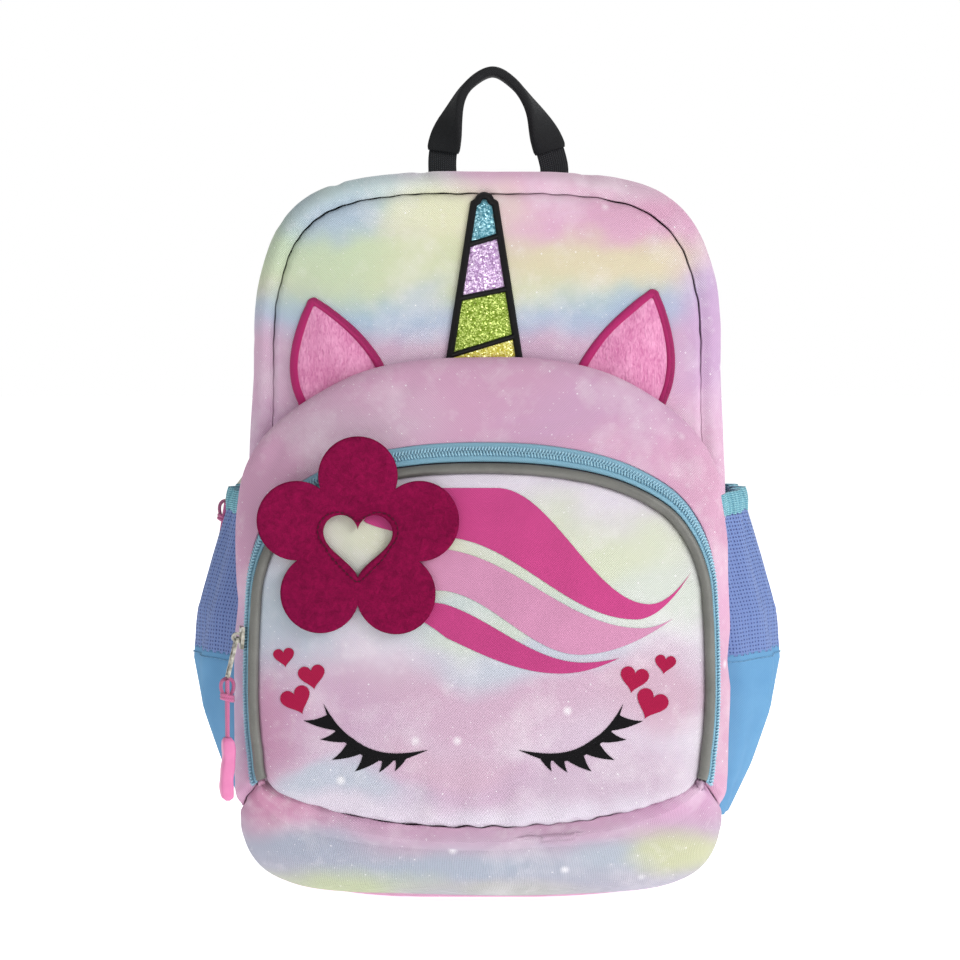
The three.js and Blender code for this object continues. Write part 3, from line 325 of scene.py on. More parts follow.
def around(half, u):
    """A half outline read at u, mirrored for the left side and closed. Every even column is an x."""
    half = np.asarray(half, float)
    mirror = np.where(np.arange(half.shape[1]) % 2, 1, -1)
    rows = np.concatenate([half, half[-2:0:-1] * mirror])
    rounds = np.concatenate([rows[-1:], rows, rows[:3]])
    return catmull(rounds, np.mod(u, len(rows)) + 1)


def dome_over(edge, turn, centre, rise):
    """A shallow dome over an outline: its y is the edge's plus rise times one less the square of the share of the
    way out. Returns point(u, share), from the centre to the edge, and depth_at(x, z)."""
    rim = edge(np.arange(8 * turn) / 8)
    angle = np.arctan2(rim[:, 2] - centre[1], rim[:, 0] - centre[0])
    reach = np.hypot(rim[:, 2] - centre[1], rim[:, 0] - centre[0])
    edge_y = rim[0, 1]

    def depth_at(x, z):
        out = np.hypot(x - centre[0], z - centre[1])
        share = out / np.interp(np.arctan2(z - centre[1], x - centre[0]), angle, reach, period=2 * np.pi)
        return edge_y + rise * (1 - np.minimum(share, 1) ** 2)

    def point(u, share):
        p = edge(u)
        share = np.clip(share, 0, 1)
        x = centre[0] + (p[..., 0] - centre[0]) * share
        z = centre[1] + (p[..., 2] - centre[1]) * share
        return np.stack([x, edge_y + rise * (1 - share ** 2), z], -1)

    return point, depth_at


def body_side(u, t):
    """The body's wall: u goes round its outline and t from its back seam to its front seam."""
    sx, sz = np.moveaxis(around(BODY_OUTLINE, u), -1, 0)
    depth, width, low, high = np.moveaxis(catmull(BODY_SECTIONS, np.clip(t, 0, FRONT_SEAM)), -1, 0)
    z = np.maximum(0, BAG_HEIGHT * (low + (high - low) * sz))
    return np.stack(np.broadcast_arrays(BAG_HALF_WIDTH * width * sx, BAG_DEPTH * depth, z), -1)


front_point, front_depth = dome_over(
    lambda u: body_side(u, np.full_like(u, FRONT_SEAM, float)), BODY_TURN, (0, BAG_HEIGHT / 2), -FRONT_DOME)
back_point, back_depth = dome_over(
    lambda u: body_side(u, np.zeros_like(u, float)), BODY_TURN, (0, BAG_HEIGHT / 2), BACK_DOME)


def bow(count):
    """Half a sine wave over a count of steps: nothing at both ends and 1 in the middle."""
    return np.sin(np.pi * np.linspace(0, 1, count))


def facing(points, middle):
    """A grid's unit normals, which point away from a middle: the cross product of its two directions."""
    out = unit(np.cross(np.gradient(points, axis=1), np.gradient(points, axis=0)))
    return out * np.sign(((points - middle) * out).sum())


def slack(points, height):
    """Soft waves of cloth: a sum of three long sines of the place, height high."""
    x, y, z = np.moveaxis(points * 1000, -1, 0)
    waves = np.sin(x / 17 + z / 29 + 1.2) + np.sin(z / 13 - y / 19 + 0.4) + np.sin((x - z) / 37 + y / 11)
    return height * waves / 3


def puckered(points, depth):
    """Puckers along a seam: a sum of three sines of x and z, none in step with another, so that both panels of a
    seam have the same."""
    x, _, z = np.moveaxis(points * 1000, -1, 0)
    waves = 0.2 * np.sin(x / 2.1 + z / 1.7) + 0.15 * np.sin(x / 2.9 - z / 3.3) + 0.1 * np.sin(x / 5.3 - z / 4.1)
    return depth * (0.55 + waves)


def rolled(points, seams, pucker=0.0012):
    """How a panel is drawn in at its seams, as a shift of each point. A seam is the grid's first or last row or
    column, with the direction that it is drawn away from. The depth falls off as a bell for the roll, and fades
    over 7 mm for the puckers."""
    down, over = lengths(points, 0), lengths(points, 1)
    away = {"first": down, "last": down[-1:] - down, "left": over, "right": over[:, -1:] - over}
    drawn = np.zeros_like(points)
    for seam, outside in seams.items():
        depth = SEAM_ROLL * np.exp(-(away[seam] / SEAM_WIDTH) ** 2)
        depth = depth + puckered(points, pucker) * np.exp(-away[seam] / 0.007)
        drawn -= depth[..., None] * outside
    return drawn


def outwards(points, centre, forward=0):
    """Unit directions from a centre, given as x and z, turned half way towards the front where forward is 1."""
    flat = unit((points - np.array([centre[0], 0, centre[1]])) * np.array([1, 0, 1]))
    return unit(flat - np.array([0, forward, 0]))


def creased(points, creases):
    """How far cloth is pushed in by its creases: each runs from a point to a point, and its depth falls off as a
    bell over its width to both sides and as a sine towards its ends."""
    pushed = np.zeros(points.shape[:2])
    for start, end, width, depth in creases:
        start, way = np.array(start), np.subtract(end, start)
        share = np.clip(((points - start) @ way) / (way @ way), 0, 1)
        off = np.linalg.norm(points - start - share[..., None] * way, axis=-1)
        pushed = pushed + depth * np.exp(-(off / width) ** 2) * np.sin(np.pi * np.clip(share, 0.03, 0.97))
    return pushed


def noise(material, where, scale, **more):
    """Soft noise from 0 to 1."""
    return node(material, "TexNoise", {"Vector": where, "Scale": scale, **more})["Fac"]


def spread_out(material, value, low, high, start=0.0, end=1.0, **more):
    """A value between low and high, spread out to run from start to end."""
    return node(material, "MapRange", {"Value": value, "From Min": low, "From Max": high, "To Min": start,
                                       "To Max": end}, **more)[0]


def dyed(name, ground, patches, stray=0.06):
    """Printed polyester. The colour is soft patches of dye laid over each other, each in a place warped by noise
    up to half of stray in height and fading out smoothly, with white mist and white specks in cells of noise. The
    weave is two raised waves that cross on the slant, and it also darkens the colour in its grooves and lightens it
    on its crests as painted shade and highlight."""
    material = finish_of(name, ground, 0.85, Specular_IOR_Level=0.2, Sheen_Weight=0.06)
    where = place_on(material)
    near = node(material, "TexNoise", {"Vector": where, "Scale": 14.0, "Detail": 3.0})["Color"]
    warp = vector_sums(material, "ADD", near, (-0.5, -0.5, -0.5))
    warp = vector_sums(material, "MULTIPLY", warp, (0.08, 0.08, stray))
    moved = vector_sums(material, "ADD", where, warp)
    colour = node(material, "RGB")[0]
    colour.default_value = paint(ground)
    for x, z, wide, high, code in patches:
        scaled = vector_sums(material, "MULTIPLY_ADD", moved, (1 / wide, 0, 1 / high), (-x / wide, 0, -z / high))
        far = node(material, "VectorMath", {0: scaled}, operation="LENGTH")["Value"]
        weight = spread_out(material, far, 0.25, 1.15, 0.92, 0.0, interpolation_type="SMOOTHSTEP")
        colour = laid_over(material, weight, colour, paint(code))
    for scale, low, high, most in ((30.0, 0.5, 0.8, 0.45), (75.0, 0.58, 0.8, 0.3)):
        cloud = noise(material, where, scale, Detail=5.0, Roughness=0.6)
        mist = spread_out(material, cloud, low, high, 0.0, most)
        colour = laid_over(material, mist, colour, paint("#f2edf1"))
    for scale, core, rim, share in ((420.0, 0.05, 0.17, 0.3), (150.0, 0.03, 0.10, 0.5), (48.0, 0.0, 0.18, 0.25)):
        cells = node(material, "TexVoronoi", {"Vector": where, "Scale": scale})
        chance = node(material, "SeparateColor", {0: cells["Color"]})[0]
        glow = spread_out(material, cells["Distance"], core, rim, 0.75, 0.0, interpolation_type="SMOOTHSTEP")
        speck = sums(material, "MULTIPLY", glow, sums(material, "LESS_THAN", chance, share))
        colour = laid_over(material, speck, colour, paint("#fbf9fb"))
    height = weave_on(material)
    # Painted shade and highlight: the weave's height darkens the colour in its grooves and brightens it on its crests.
    shade = spread_out(material, height, 0.1, 0.9, 0.8, 1.06)
    colour = vector_sums(material, "MULTIPLY", colour, shade)
    feed(material, colour, "Base Color")
    raise_by(material, height, 0.0002)
    return material


def weave_on(material):
    """The cloth's weave, from 0 to 1: the sum of two waves of thread that cross on the slant. They run over x and z
    on what faces forward, and the share of y that is added to both carries them round onto the sides and the top."""
    x, y, z = node(material, "SeparateXYZ", {0: place_on(material)})
    over = sums(material, "MULTIPLY_ADD", y, 0.7, sums(material, "ABSOLUTE", x))
    up = sums(material, "MULTIPLY_ADD", y, 0.7, z)
    both = sums(material, "ADD", *crossed(material, over, up, 2 * np.pi / THREAD))
    return sums(material, "MULTIPLY_ADD", both, 0.25, 0.5)


def zip_reach(point, u, t, width):
    """How much of t covers a width on a surface at u and t."""
    a, b = point(np.array([float(u)]), np.array([t])), point(np.array([float(u)]), np.array([t + 0.1]))
    return 0.1 * width / np.linalg.norm(b - a)


def grid_of(point, u, t):
    """A surface read at every u along its rows and every t down its columns."""
    return point(*np.broadcast_arrays(u[None], t[:, None]))


zip_t = zip_reach(body_side, BODY_TURN / 2, ZIP_SECTION, ZIP_WIDTH / 2)
back_t = zip_reach(body_side, ZIP_END, 0.0, SEAM_GAP)
front_t = FRONT_SEAM - zip_reach(body_side, ZIP_END, FRONT_SEAM - 0.2, SEAM_GAP)
BAG_MIDDLE = np.array([0, 0, BAG_HEIGHT / 2])
TOP_CREASES = [
    ((.122, -.084, .352), (.118, -.006, .376), .0036, .0052),
    ((.104, -.084, .376), (.098, -.004, .394), .0032, .0046),
    ((.128, -.084, .312), (.134, .000, .336), .0045, .0040),
    ((.062, -.084, .388), (.050, -.010, .402), .0036, .0026),
    ((-.074, -.084, .388), (-.086, -.012, .394), .0028, .0052),
    ((-.104, -.084, .370), (-.120, -.010, .372), .0030, .0052),
    ((-.120, -.084, .346), (-.134, -.008, .342), .0030, .0046),
    ((-.126, -.084, .300), (-.136, -.004, .312), .0045, .0034),
    ((-.026, -.084, .390), (-.040, -.012, .402), .0036, .0020),
]
body_cloth = dyed("cloth_pink", CLOTH_GROUND, BODY_DYE)
BODY_CENTRE = (0, BAG_HEIGHT / 2)


def body_panel(name, u, t, seams, creases=(), puff=0.0, bead=0.0):
    """A panel of the body's wall, swollen between its seams by puff and beside its front seam by bead, with its
    slack, creases and rolled edges."""
    points = grid_of(body_side, u, t)
    out = facing(points, BAG_MIDDLE)
    share = bow(len(t))[:, None]
    before_seam = lengths(points, 0)[-1:] - lengths(points, 0)
    swell = puff * share + slack(points, 0.0009) - creased(points, creases)
    swell = swell + bead * np.exp(-((before_seam - 0.010) / 0.008) ** 2)
    ways = {"first": outwards(points, BODY_CENTRE, -1), "last": outwards(points, BODY_CENTRE, 1)}
    raised = points + out * swell[..., None] + rolled(points, {seam: ways.get(seam, out) for seam in seams})
    raised[..., 2] = np.maximum(raised[..., 2], 0)
    return piece(name, raised, body_cloth, "cloth_pink", nodes=[name], inside=BAG_MIDDLE, wall=CLOTH)


over_top = np.linspace(ZIP_END + 0.01, BODY_TURN - ZIP_END - 0.01, 420)
up_side = np.linspace(BASE_END + 0.01, ZIP_END - 0.01, 90)
over_base = np.linspace(-BASE_END + 0.01, BASE_END - 0.01, 200)
whole_wall = np.linspace(back_t, front_t, 60)
body_panel("top_gusset_front", over_top, np.linspace(ZIP_SECTION + zip_t + 0.03, front_t, 70),
           ["last"], TOP_CREASES, 0.0015, 0.003)
body_panel("top_gusset_back", over_top, np.linspace(back_t, ZIP_SECTION - zip_t - 0.03, 22),
           ["first"])
side_seams = ["first", "last", "left", "right"]
body_panel("side_panel_right", up_side, whole_wall, side_seams)
body_panel("side_panel_left", -up_side, whole_wall, side_seams)
body_panel("base_panel", over_base, whole_wall, ["left", "right"])

FRONT_CREASES = [
    ((-.122, -.05, .225), (-.090, -.05, .262), .006, .0016),
    ((.120, -.05, .230), (.096, -.05, .262), .006, .0018),
    ((.122, -.05, .300), (.086, -.05, .318), .007, .0014),
    ((-.122, -.05, .330), (-.092, -.05, .345), .007, .0012),
    ((.104, -.05, .372), (.070, -.05, .355), .008, .0014),
    ((-.060, -.05, .300), (-.020, -.05, .304), .010, .0008),
]
PANEL_REACH = 0.9985
all_round = np.linspace(0, BODY_TURN, 481)
front_grid = grid_of(front_point, all_round, np.linspace(PANEL_REACH, 0, 80))
front_shift = rolled(front_grid, {"first": outwards(front_grid, BODY_CENTRE, 1)})
front_shift[..., 1] += creased(front_grid, FRONT_CREASES) - slack(front_grid, 0.0007)
front_grid += front_shift
front_grid[-1] = front_grid[-1].mean(0)
piece("front_panel", front_grid, dyed("cloth_front", CLOTH_GROUND, BODY_DYE), "cloth_pink",
      nodes=["front_panel"], inside=BAG_MIDDLE, wall=CLOTH)


# The zips: woven tape, 10 mm of it showing, with a nylon coil standing along its middle.
# Each side of the coil is one wire wound in a flattened spring, and the two springs hook into each other.
COIL_BLUE = "#9fcfe0"
COIL_HEIGHT = 0.0014
COIL_WIDTH = 0.0046
COIL_PITCH = 0.0017
COIL_WIRE = 0.00042


def ribbed(material, where, pitch, direction, **more):
    """Waves from 0 to 1, a pitch apart in one direction."""
    return node(material, "TexWave", {"Vector": where, "Scale": 0.314 / pitch, **more},
                bands_direction=direction)["Fac"]


def woven_tape(name, colour, dark, rib):
    """Woven tape: ribs along it and a finer weave across it, on the UV map, with painted shade in the grooves between
    the ribs and a painted highlight on their crests.
    """
    material = finish_of(name, colour, 0.75, Sheen_Weight=0.15)
    uv = place_on(material, "UV")
    along = ribbed(material, uv, rib, "X")
    cross = ribbed(material, uv, rib / 1.6, "Y")
    height = sums(material, "MULTIPLY", along, sums(material, "MULTIPLY_ADD", cross, 0.6, 0.4))
    # Painted shade and highlight: the ribs' height also runs the colour from dark in the grooves to light on the
    # crests.
    return surfaced(material, height, rib * 0.35, height, colour, dark)


tape_finish = woven_tape("zip_tape", "#9bcbdf", "#7db2ca", 0.0011)
coil_finish = finish_of("zip_coil", COIL_BLUE, 0.35, Specular_IOR_Level=0.5)
coil_grain = noise(coil_finish, place_on(coil_finish), 700.0)
tint(coil_finish, coil_grain, "#b4d9e7", "#7db2ca")


def read_at(places, at, rows):
    """Rows of three numbers, which lie at places, read in straight steps at other places."""
    return np.stack([np.interp(at, places, rows[:, k]) for k in range(3)], -1)


def resampled(path, *others, count):
    """A path and what goes with it, read at even lengths along it."""
    places = lengths(path, 0)
    even = np.linspace(0, places[-1], count)
    return [read_at(places, even, part) for part in (path, *others)]


def coil_along(path, out):
    """The two springs of a coil: each is a wire on a flattened helix about the path, whose turns are a pitch
    apart. One is half a pitch behind the other and mirrored across the path."""
    length = lengths(path, 0)[-1]
    turns = int(length / COIL_PITCH)
    path, out = resampled(path, out, count=turns * 10)
    out = unit(out)
    across = np.cross(out, unit(np.gradient(path, axis=0)))
    wires = []
    for side in (-1, 1):
        phase = np.linspace(0, 2 * np.pi * turns, len(path)) + (0 if side < 0 else np.pi)
        reach = side * (COIL_WIDTH / 4 + COIL_WIDTH / 3.4 * np.cos(phase))
        height = COIL_HEIGHT * (0.5 + 0.42 * np.sin(phase))
        wire = path + across * reach[:, None] + out * height[:, None]
        wires.append(carried(wire, ring(5) * COIL_WIRE, side=(0.3, 0.2, 0.9)))
    return wires


def zip_pieces(name, tape, node_name):
    """A zip on a grid of its tape, whose rows run along it: the tape as a wall and the coil on its middle row."""
    out = facing(tape, BAG_MIDDLE)
    piece(name + "_tape", tape, tape_finish, "zip_tape", nodes=[node_name], inside=BAG_MIDDLE, wall=0.0009)
    middle = len(tape) // 2
    piece(name + "_coil", coil_along(tape[middle], out[middle]), coil_finish, "zip_tape")


main_zip = grid_of(body_side, over_top, np.linspace(ZIP_SECTION - zip_t, ZIP_SECTION + zip_t, 9))
zip_pieces("main_zip", main_zip, "main_zip")


# The back panel: foam under an air mesh, sewn through in channels so that air passes behind the child's back.
# It is the stiff side of the bag, and the straps, the handle and the webbing are sewn into its edge.
BACK_PADDING = 0.005
BACK_MESH = "#b9c3dc"
CHANNEL_DEPTH = 0.0035


def weighed(material, first, first_share, second, second_share):
    """Two values added together, each times its share."""
    return sums(material, "MULTIPLY_ADD", first, first_share, sums(material, "MULTIPLY", second, second_share))


def air_mesh(name, colour, dark, pitch):
    """Spacer mesh: holes in a net of cells across x and z, with painted shade darkening each hole and a faint random
    fuzz in the colour.
    """
    material = finish_of(name, colour, 0.9, Specular_IOR_Level=0.2)
    x, _, z = node(material, "SeparateXYZ", {0: place_on(material, scale=(1 / pitch, 1, 1 / pitch))})
    flat = node(material, "CombineXYZ", {0: x, 1: z})[0]
    cells = node(material, "TexVoronoi", {"Vector": flat, "Scale": 1.0, "Randomness": 0.2},
                 voronoi_dimensions="2D")["Distance"]
    net = spread_out(material, cells, 0.2, 0.36)
    fuzz = noise(material, place_on(material), 60.0, Detail=3.0)
    # Partly painted shade in the holes of the net, partly a random fuzz of tone.
    return surfaced(material, net, pitch * 0.25, weighed(material, fuzz, 0.35, net, 0.7), colour, dark)


back_grid = grid_of(back_point, all_round, np.linspace(PANEL_REACH, 0, 90))
x, _, z = np.moveaxis(back_grid, -1, 0)
edge_away = lengths(back_grid, 0)
channels = np.exp(-((np.abs(x) - 0.031) / 0.004) ** 2) * (np.abs(z - 0.19) < 0.13)
channels = np.maximum(channels, np.exp(-((z - 0.2 - 0.2 * np.abs(x)) / 0.004) ** 2) * (np.abs(x) < 0.1))
inner = 1 - np.exp(-(edge_away / 0.012) ** 2)
back_grid += rolled(back_grid, {"first": outwards(back_grid, BODY_CENTRE, -1)})
back_grid[..., 1] += 0.004 * inner - CHANNEL_DEPTH * channels * inner
back_grid[-1] = back_grid[-1].mean(0)
back_pad = piece("back_panel", back_grid, air_mesh("back_padding", BACK_MESH, "#6f7ba2", 0.0032), "back_padding",
                 nodes=["back_panel"], inside=BAG_MIDDLE, wall=BACK_PADDING)


# The front pocket: a gusset of the same cloth that swells out from the front panel, and a band below it.
# The two are sewn together in a slanted seam at each corner, and the gusset carries the pocket's zip.
POCKET_OFFSET = -0.003
POCKET_HALF_WIDTH = 0.122
POCKET_HEIGHT = 0.297
POCKET_DEPTH = 0.046
FACE_HALF_WIDTH = 0.119
FACE_HEIGHT = 0.236
FACE_DOME = 0.014
PIPING_DIAMETER = 0.0056
PIPING_ROOM = PIPING_DIAMETER + 4 * SEAM_GAP
TOP_SWELL = 0.1
CORNER_SEAM = (5.2, 4.0)
# Half of the outline of the rear seam and then of the face's edge, from the bottom middle up the right side.
POCKET_OUTLINE = [
    (0, .032, 0, .184), (.32, .032, .294, .189), (.62, .036, .571, .21), (.83, .052, .784, .244),
    (.95, .09, .95, .296), (.99, .185, .985, .38), (1, .32, 1, .47), (1, .471, 1, .571), (1, .623, .992, .674),
    (.99, .755, .973, .764), (.95, .838, .91, .845), (.82, .905, .8, .91), (.56, .965, .588, .963),
    (.28, .993, .31, .992), (0, 1, 0, 1),
]
POCKET_TURN = 28
ZIP_OUTER = 5
ZIP_INNER = 6
FACE_EDGE = 7
ZIP_INNER_DEPTH = 1 - PIPING_DIAMETER / 4 / POCKET_DEPTH
# Sections from the rear seam to the face's edge: the share of the way between the outlines, the share of the
# depth, and the outward swell as a share of the depth.
POCKET_SECTIONS = [
    (0, 0, 0), (.02, .16, .15), (.12, .34, .2), (.35, .52, .19), (.6, .67, .12),
    (.82, ZIP_INNER_DEPTH - 0.85 * ZIP_WIDTH / POCKET_DEPTH, .05), (1, ZIP_INNER_DEPTH, 0), (1, 1, 0),
]
POCKET_DYE = [
    (0.00, .270, .20, .050, "#cda0bc"),
    (-.06, .262, .05, .022, "#d3b3c8"),
    (0.06, .266, .06, .022, "#cba2c0"),
    (-.12, .200, .05, .050, "#c99cb8"),
    (0.12, .210, .05, .050, "#d0a0ba"),
    (-.13, .120, .04, .060, "#c3aac6"),
    (0.13, .110, .04, .060, "#d0a4bb"),
]
BAND_DYE = [
    (0.00, .068, .24, .046, "#cb97b6"),
    (-.10, .066, .05, .026, "#c98dab"),
    (0.10, .072, .05, .030, "#cf9fc2"),
    (-.02, .020, .11, .011, "#a9b2c0"),
    (-.10, .032, .05, .014, "#a6adbd"),
    (0.08, .028, .05, .011, "#b1bac6"),
    (0.115, .030, .035, .016, "#c7caa4"),
    (-.085, .010, .060, .013, "#bfc7a6"),
    (0.01, .006, .06, .009, "#b9b9b6"),
]


def pocket_outline(u, share):
    """The pocket's outline between its rear seam, share 0, and its face's edge, share 1."""
    rear_x, rear_z, face_x, face_z = np.moveaxis(around(POCKET_OUTLINE, u), -1, 0)
    x = POCKET_HALF_WIDTH * rear_x * (1 - share) + FACE_HALF_WIDTH * face_x * share
    z = POCKET_HEIGHT * rear_z * (1 - share) + FACE_HEIGHT * face_z * share
    return np.stack([POCKET_OFFSET + x, np.zeros_like(x), z], -1)


def pocket_wall(u, t):
    """The pocket's wall: its outline at t, moved out along its own normal by the swell and the room for piping."""
    u, t = np.broadcast_arrays(np.asarray(u, float), np.asarray(t, float))
    t = np.clip(t, 0, FACE_EDGE)
    smooth = np.moveaxis(catmull(POCKET_SECTIONS[:6], np.minimum(t, 5)), -1, 0)
    plain = [np.interp(t, np.arange(8), column) for column in np.transpose(POCKET_SECTIONS)]
    share, depth, swell = (np.where(t < 5, s, p) for s, p in zip(smooth, plain))
    step = pocket_outline(u + 0.02, share) - pocket_outline(u - 0.02, share)
    out = unit(np.stack([step[..., 2], np.zeros_like(share), -step[..., 0]], -1))
    swelling = POCKET_DEPTH * swell * (1 + (TOP_SWELL - 1) * np.maximum(0, out[..., 2]))
    room = PIPING_ROOM * np.minimum(t / ZIP_INNER, FACE_EDGE - t)
    p = pocket_outline(u, share) + out * (swelling + room)[..., None]
    seam = pocket_outline(u, np.zeros_like(share))
    rear = front_depth(seam[..., 0], seam[..., 2]) - SEAM_GAP
    y = rear + (FACE_Y - rear) * depth
    return np.stack([p[..., 0], y, np.maximum(0, p[..., 2])], -1)


FACE_Y = body_side(np.zeros(1), np.full(1, FRONT_SEAM))[0, 1] - POCKET_DEPTH
FACE_CENTRE = (POCKET_OFFSET, FACE_HEIGHT * 0.6)
POCKET_MIDDLE = np.array([POCKET_OFFSET, -0.06, 0.14])
face_point, face_depth = dome_over(lambda u: pocket_wall(u, FACE_EDGE), POCKET_TURN, FACE_CENTRE, -FACE_DOME)
CORNER_GAP = 0.004
POCKET_PUCKER = 0.0024


def corner_u(t):
    """Where the corner seam lies on the outline at t."""
    return CORNER_SEAM[0] + (CORNER_SEAM[1] - CORNER_SEAM[0]) * np.clip(t / FACE_EDGE, 0, 1)


def above_corners(a, t):
    """The pocket's wall above its corner seams: a goes from the right seam over the top to the left seam."""
    low = corner_u(t) + CORNER_GAP
    return pocket_wall(low + (POCKET_TURN - 2 * low) * a, t)


def below_corners(a, t):
    """The pocket's wall below its corner seams: a goes from the left seam along the bottom to the right seam."""
    high = corner_u(t) - CORNER_GAP
    return pocket_wall(-high + 2 * high * a, t)


def pocket_panel(name, grid, seams, creases, dye, slot, puff=0.0, hang=0.0):
    """A panel of the pocket's wall, with its slack, creases and rolled edges. What faces down is drawn up by hang."""
    out = facing(grid, POCKET_MIDDLE)
    share = bow(len(grid))[:, None]
    raised = grid + out * (puff * share + slack(grid, 0.0012) - creased(grid, creases))[..., None]
    along = bow(grid.shape[1]) ** 0.5
    raised[..., 2] += hang * share * np.clip(-out[..., 2], 0, 1) * along
    ways = {"last": outwards(grid, FACE_CENTRE, 1)}
    raised += rolled(grid, {seam: ways.get(seam, out) for seam in seams}, POCKET_PUCKER)
    raised[..., 2] = np.maximum(raised[..., 2], 0)
    return piece(name, raised, dye, slot, nodes=[name], inside=POCKET_MIDDLE, wall=CLOTH)


GUSSET_CREASES = [
    ((.085, -.060, .272), (.112, -.080, .235), .006, .003),
    ((.118, -.058, .232), (.132, -.074, .200), .006, .0028),
    ((.126, -.062, .150), (.134, -.070, .120), .006, .0024),
    ((-.100, -.058, .262), (-.122, -.076, .232), .006, .0024),
    ((-.128, -.060, .180), (-.136, -.072, .150), .006, .0024),
    ((-.030, -.054, .292), (-.050, -.074, .276), .005, .0014),
    ((.040, -.054, .290), (.052, -.074, .272), .005, .0014),
]
BAND_CREASES = [
    ((-.090, -.098, .056), (-.104, -.080, .024), .006, .0026),
    ((-.040, -.098, .044), (-.046, -.084, .016), .006, .0018),
    ((.020, -.098, .044), (.026, -.082, .014), .007, .0016),
    ((.082, -.098, .056), (.098, -.080, .022), .006, .0026),
    ((.060, -.096, .046), (.020, -.088, .036), .004, .0012),
    ((-.115, -.086, .066), (-.120, -.066, .034), .005, .0024),
    ((.110, -.086, .066), (.116, -.066, .034), .005, .0024),
]
along_top = np.linspace(0, 1, 520)
pocket_panel("pocket_gusset", grid_of(above_corners, along_top, np.linspace(0, ZIP_OUTER - 0.03, 64)),
             ["left", "right"], GUSSET_CREASES,
             dyed("cloth_pocket", "#dcaac8", POCKET_DYE), "cloth_pink", 0.001)
pocket_panel("lower_band", grid_of(below_corners, np.linspace(0, 1, 400), np.linspace(0, FACE_EDGE - 0.05, 80)),
             ["last", "left", "right"], BAND_CREASES,
             dyed("cloth_base", "#b4b2bf", BAND_DYE, stray=0.02), "cloth_base", hang=0.005)
zip_pieces("pocket_zip", grid_of(above_corners, along_top, np.linspace(ZIP_OUTER, ZIP_INNER - 0.03, 9)), "pocket_zip")


# The piping: a cord wrapped in tape that throws light back, sewn into the seam between the zip and the face.
# It runs from one bottom corner over the top to the other; the dark binding on both of its sides is not drawn.
REFLECTIVE_GREY = "#85857f"


def bead_tape():
    """Reflective tape: tiny glass beads as a fine grain on grey, with a soft gloss."""
    material = finish_of("reflective", REFLECTIVE_GREY, 0.42, Metallic=0.25)
    beads = node(material, "TexVoronoi", {"Vector": place_on(material), "Scale": 2500.0})["Distance"]
    wear = noise(material, place_on(material), 90.0, Detail=4.0)
    return surfaced(material, beads, 0.0001, weighed(material, beads, 0.4, wear, 0.8), "#7b7b76", "#50504c")


piping_line = above_corners(np.linspace(0.006, 0.994, 400), (ZIP_INNER + FACE_EDGE) / 2)
piping_line[:, 1] = FACE_Y
piece("reflective_piping", capped(carried(piping_line, ring(16) * PIPING_DIAMETER / 2)), bead_tape(), "reflective",
      nodes=["reflective_piping"])


# The face: one panel of the dyed cloth with the closed eyes, the hearts and the mane printed on it.
# Its lower edge is eased into the seam of the band, so it puckers there and lies smooth above.
FACE_DYE = [
    (0.00, .180, .14, .040, "#bdcacf"),
    (0.05, .195, .08, .030, "#d3d8be"),
    (-.05, .200, .06, .030, "#d7d8c0"),
    (0.01, .160, .05, .022, "#cad2c6"),
    (0.09, .165, .05, .030, "#d1d7cd"),
    (-.11, .150, .04, .040, "#b4c2ce"),
    (0.00, .115, .14, .034, "#cba9bf"),
    (-.09, .100, .06, .030, "#c8a5bf"),
    (0.09, .115, .05, .030, "#ccabbd"),
    (0.03, .138, .07, .018, "#c0c7d2"),
    (0.00, .074, .14, .024, "#c7a9c0"),
    (-.075, .064, .05, .014, "#bcc3d0"),
    (-.118, .100, .030, .050, "#c08fac"),
    (0.07, .066, .06, .020, "#c8b3c5"),
    (-.02, .085, .05, .016, "#cdaec1"),
]
FACE_CREASES = [
    ((-.085, -.10, .052), (-.078, -.10, .085), .004, .0010),
    ((-.040, -.10, .046), (-.036, -.10, .078), .004, .0009),
    ((.012, -.10, .044), (.010, -.10, .074), .004, .0009),
    ((.055, -.10, .048), (.052, -.10, .080), .004, .0010),
    ((.092, -.10, .056), (.084, -.10, .090), .004, .0010),
    ((.030, -.10, .120), (.110, -.10, .135), .012, .0008),
    ((-.110, -.10, .110), (-.040, -.10, .100), .012, .0007),
]


def sag(x, z):
    """The easing waves of the face's lower half: sines across it that die out upwards from the seam."""
    low = np.clip((0.11 - z) / 0.06, 0, 1) ** 2
    return 0.0007 * low * np.sin(x / 0.0052 + 3 * np.sin(x / 0.03))


face_cloth = dyed("cloth_face", "#d8cfdc", FACE_DYE)
face_grid = grid_of(face_point, np.linspace(0, POCKET_TURN, 481), np.linspace(PANEL_REACH, 0, 90))
by_band = np.clip((0.066 - face_grid[..., 2:]) / 0.016, 0, 1)
face_shift = rolled(face_grid, {"first": outwards(face_grid, FACE_CENTRE, 1)}, POCKET_PUCKER)
face_shift *= 0.12 + 0.88 * by_band
face_shift += (outwards(face_grid, FACE_CENTRE) * 0.0011 * (1 - by_band)
               * np.exp(-(lengths(face_grid, 0) / 0.006) ** 2)[..., None])
face_shift[..., 1] += creased(face_grid, FACE_CREASES) + sag(face_grid[..., 0], face_grid[..., 2])
face_grid += face_shift
face_grid[-1] = face_grid[-1].mean(0)
piece("pocket_face", face_grid, face_cloth, "cloth_face", nodes=["pocket_face"], inside=POCKET_MIDDLE, wall=CLOTH)


# The prints: ink on the face's cloth, so they are flat, take its twill and have crisp edges.
# Two closed eyes with lashes, three hearts on each cheek, and a mane of three locks from under the flower.
INK = 0.00035


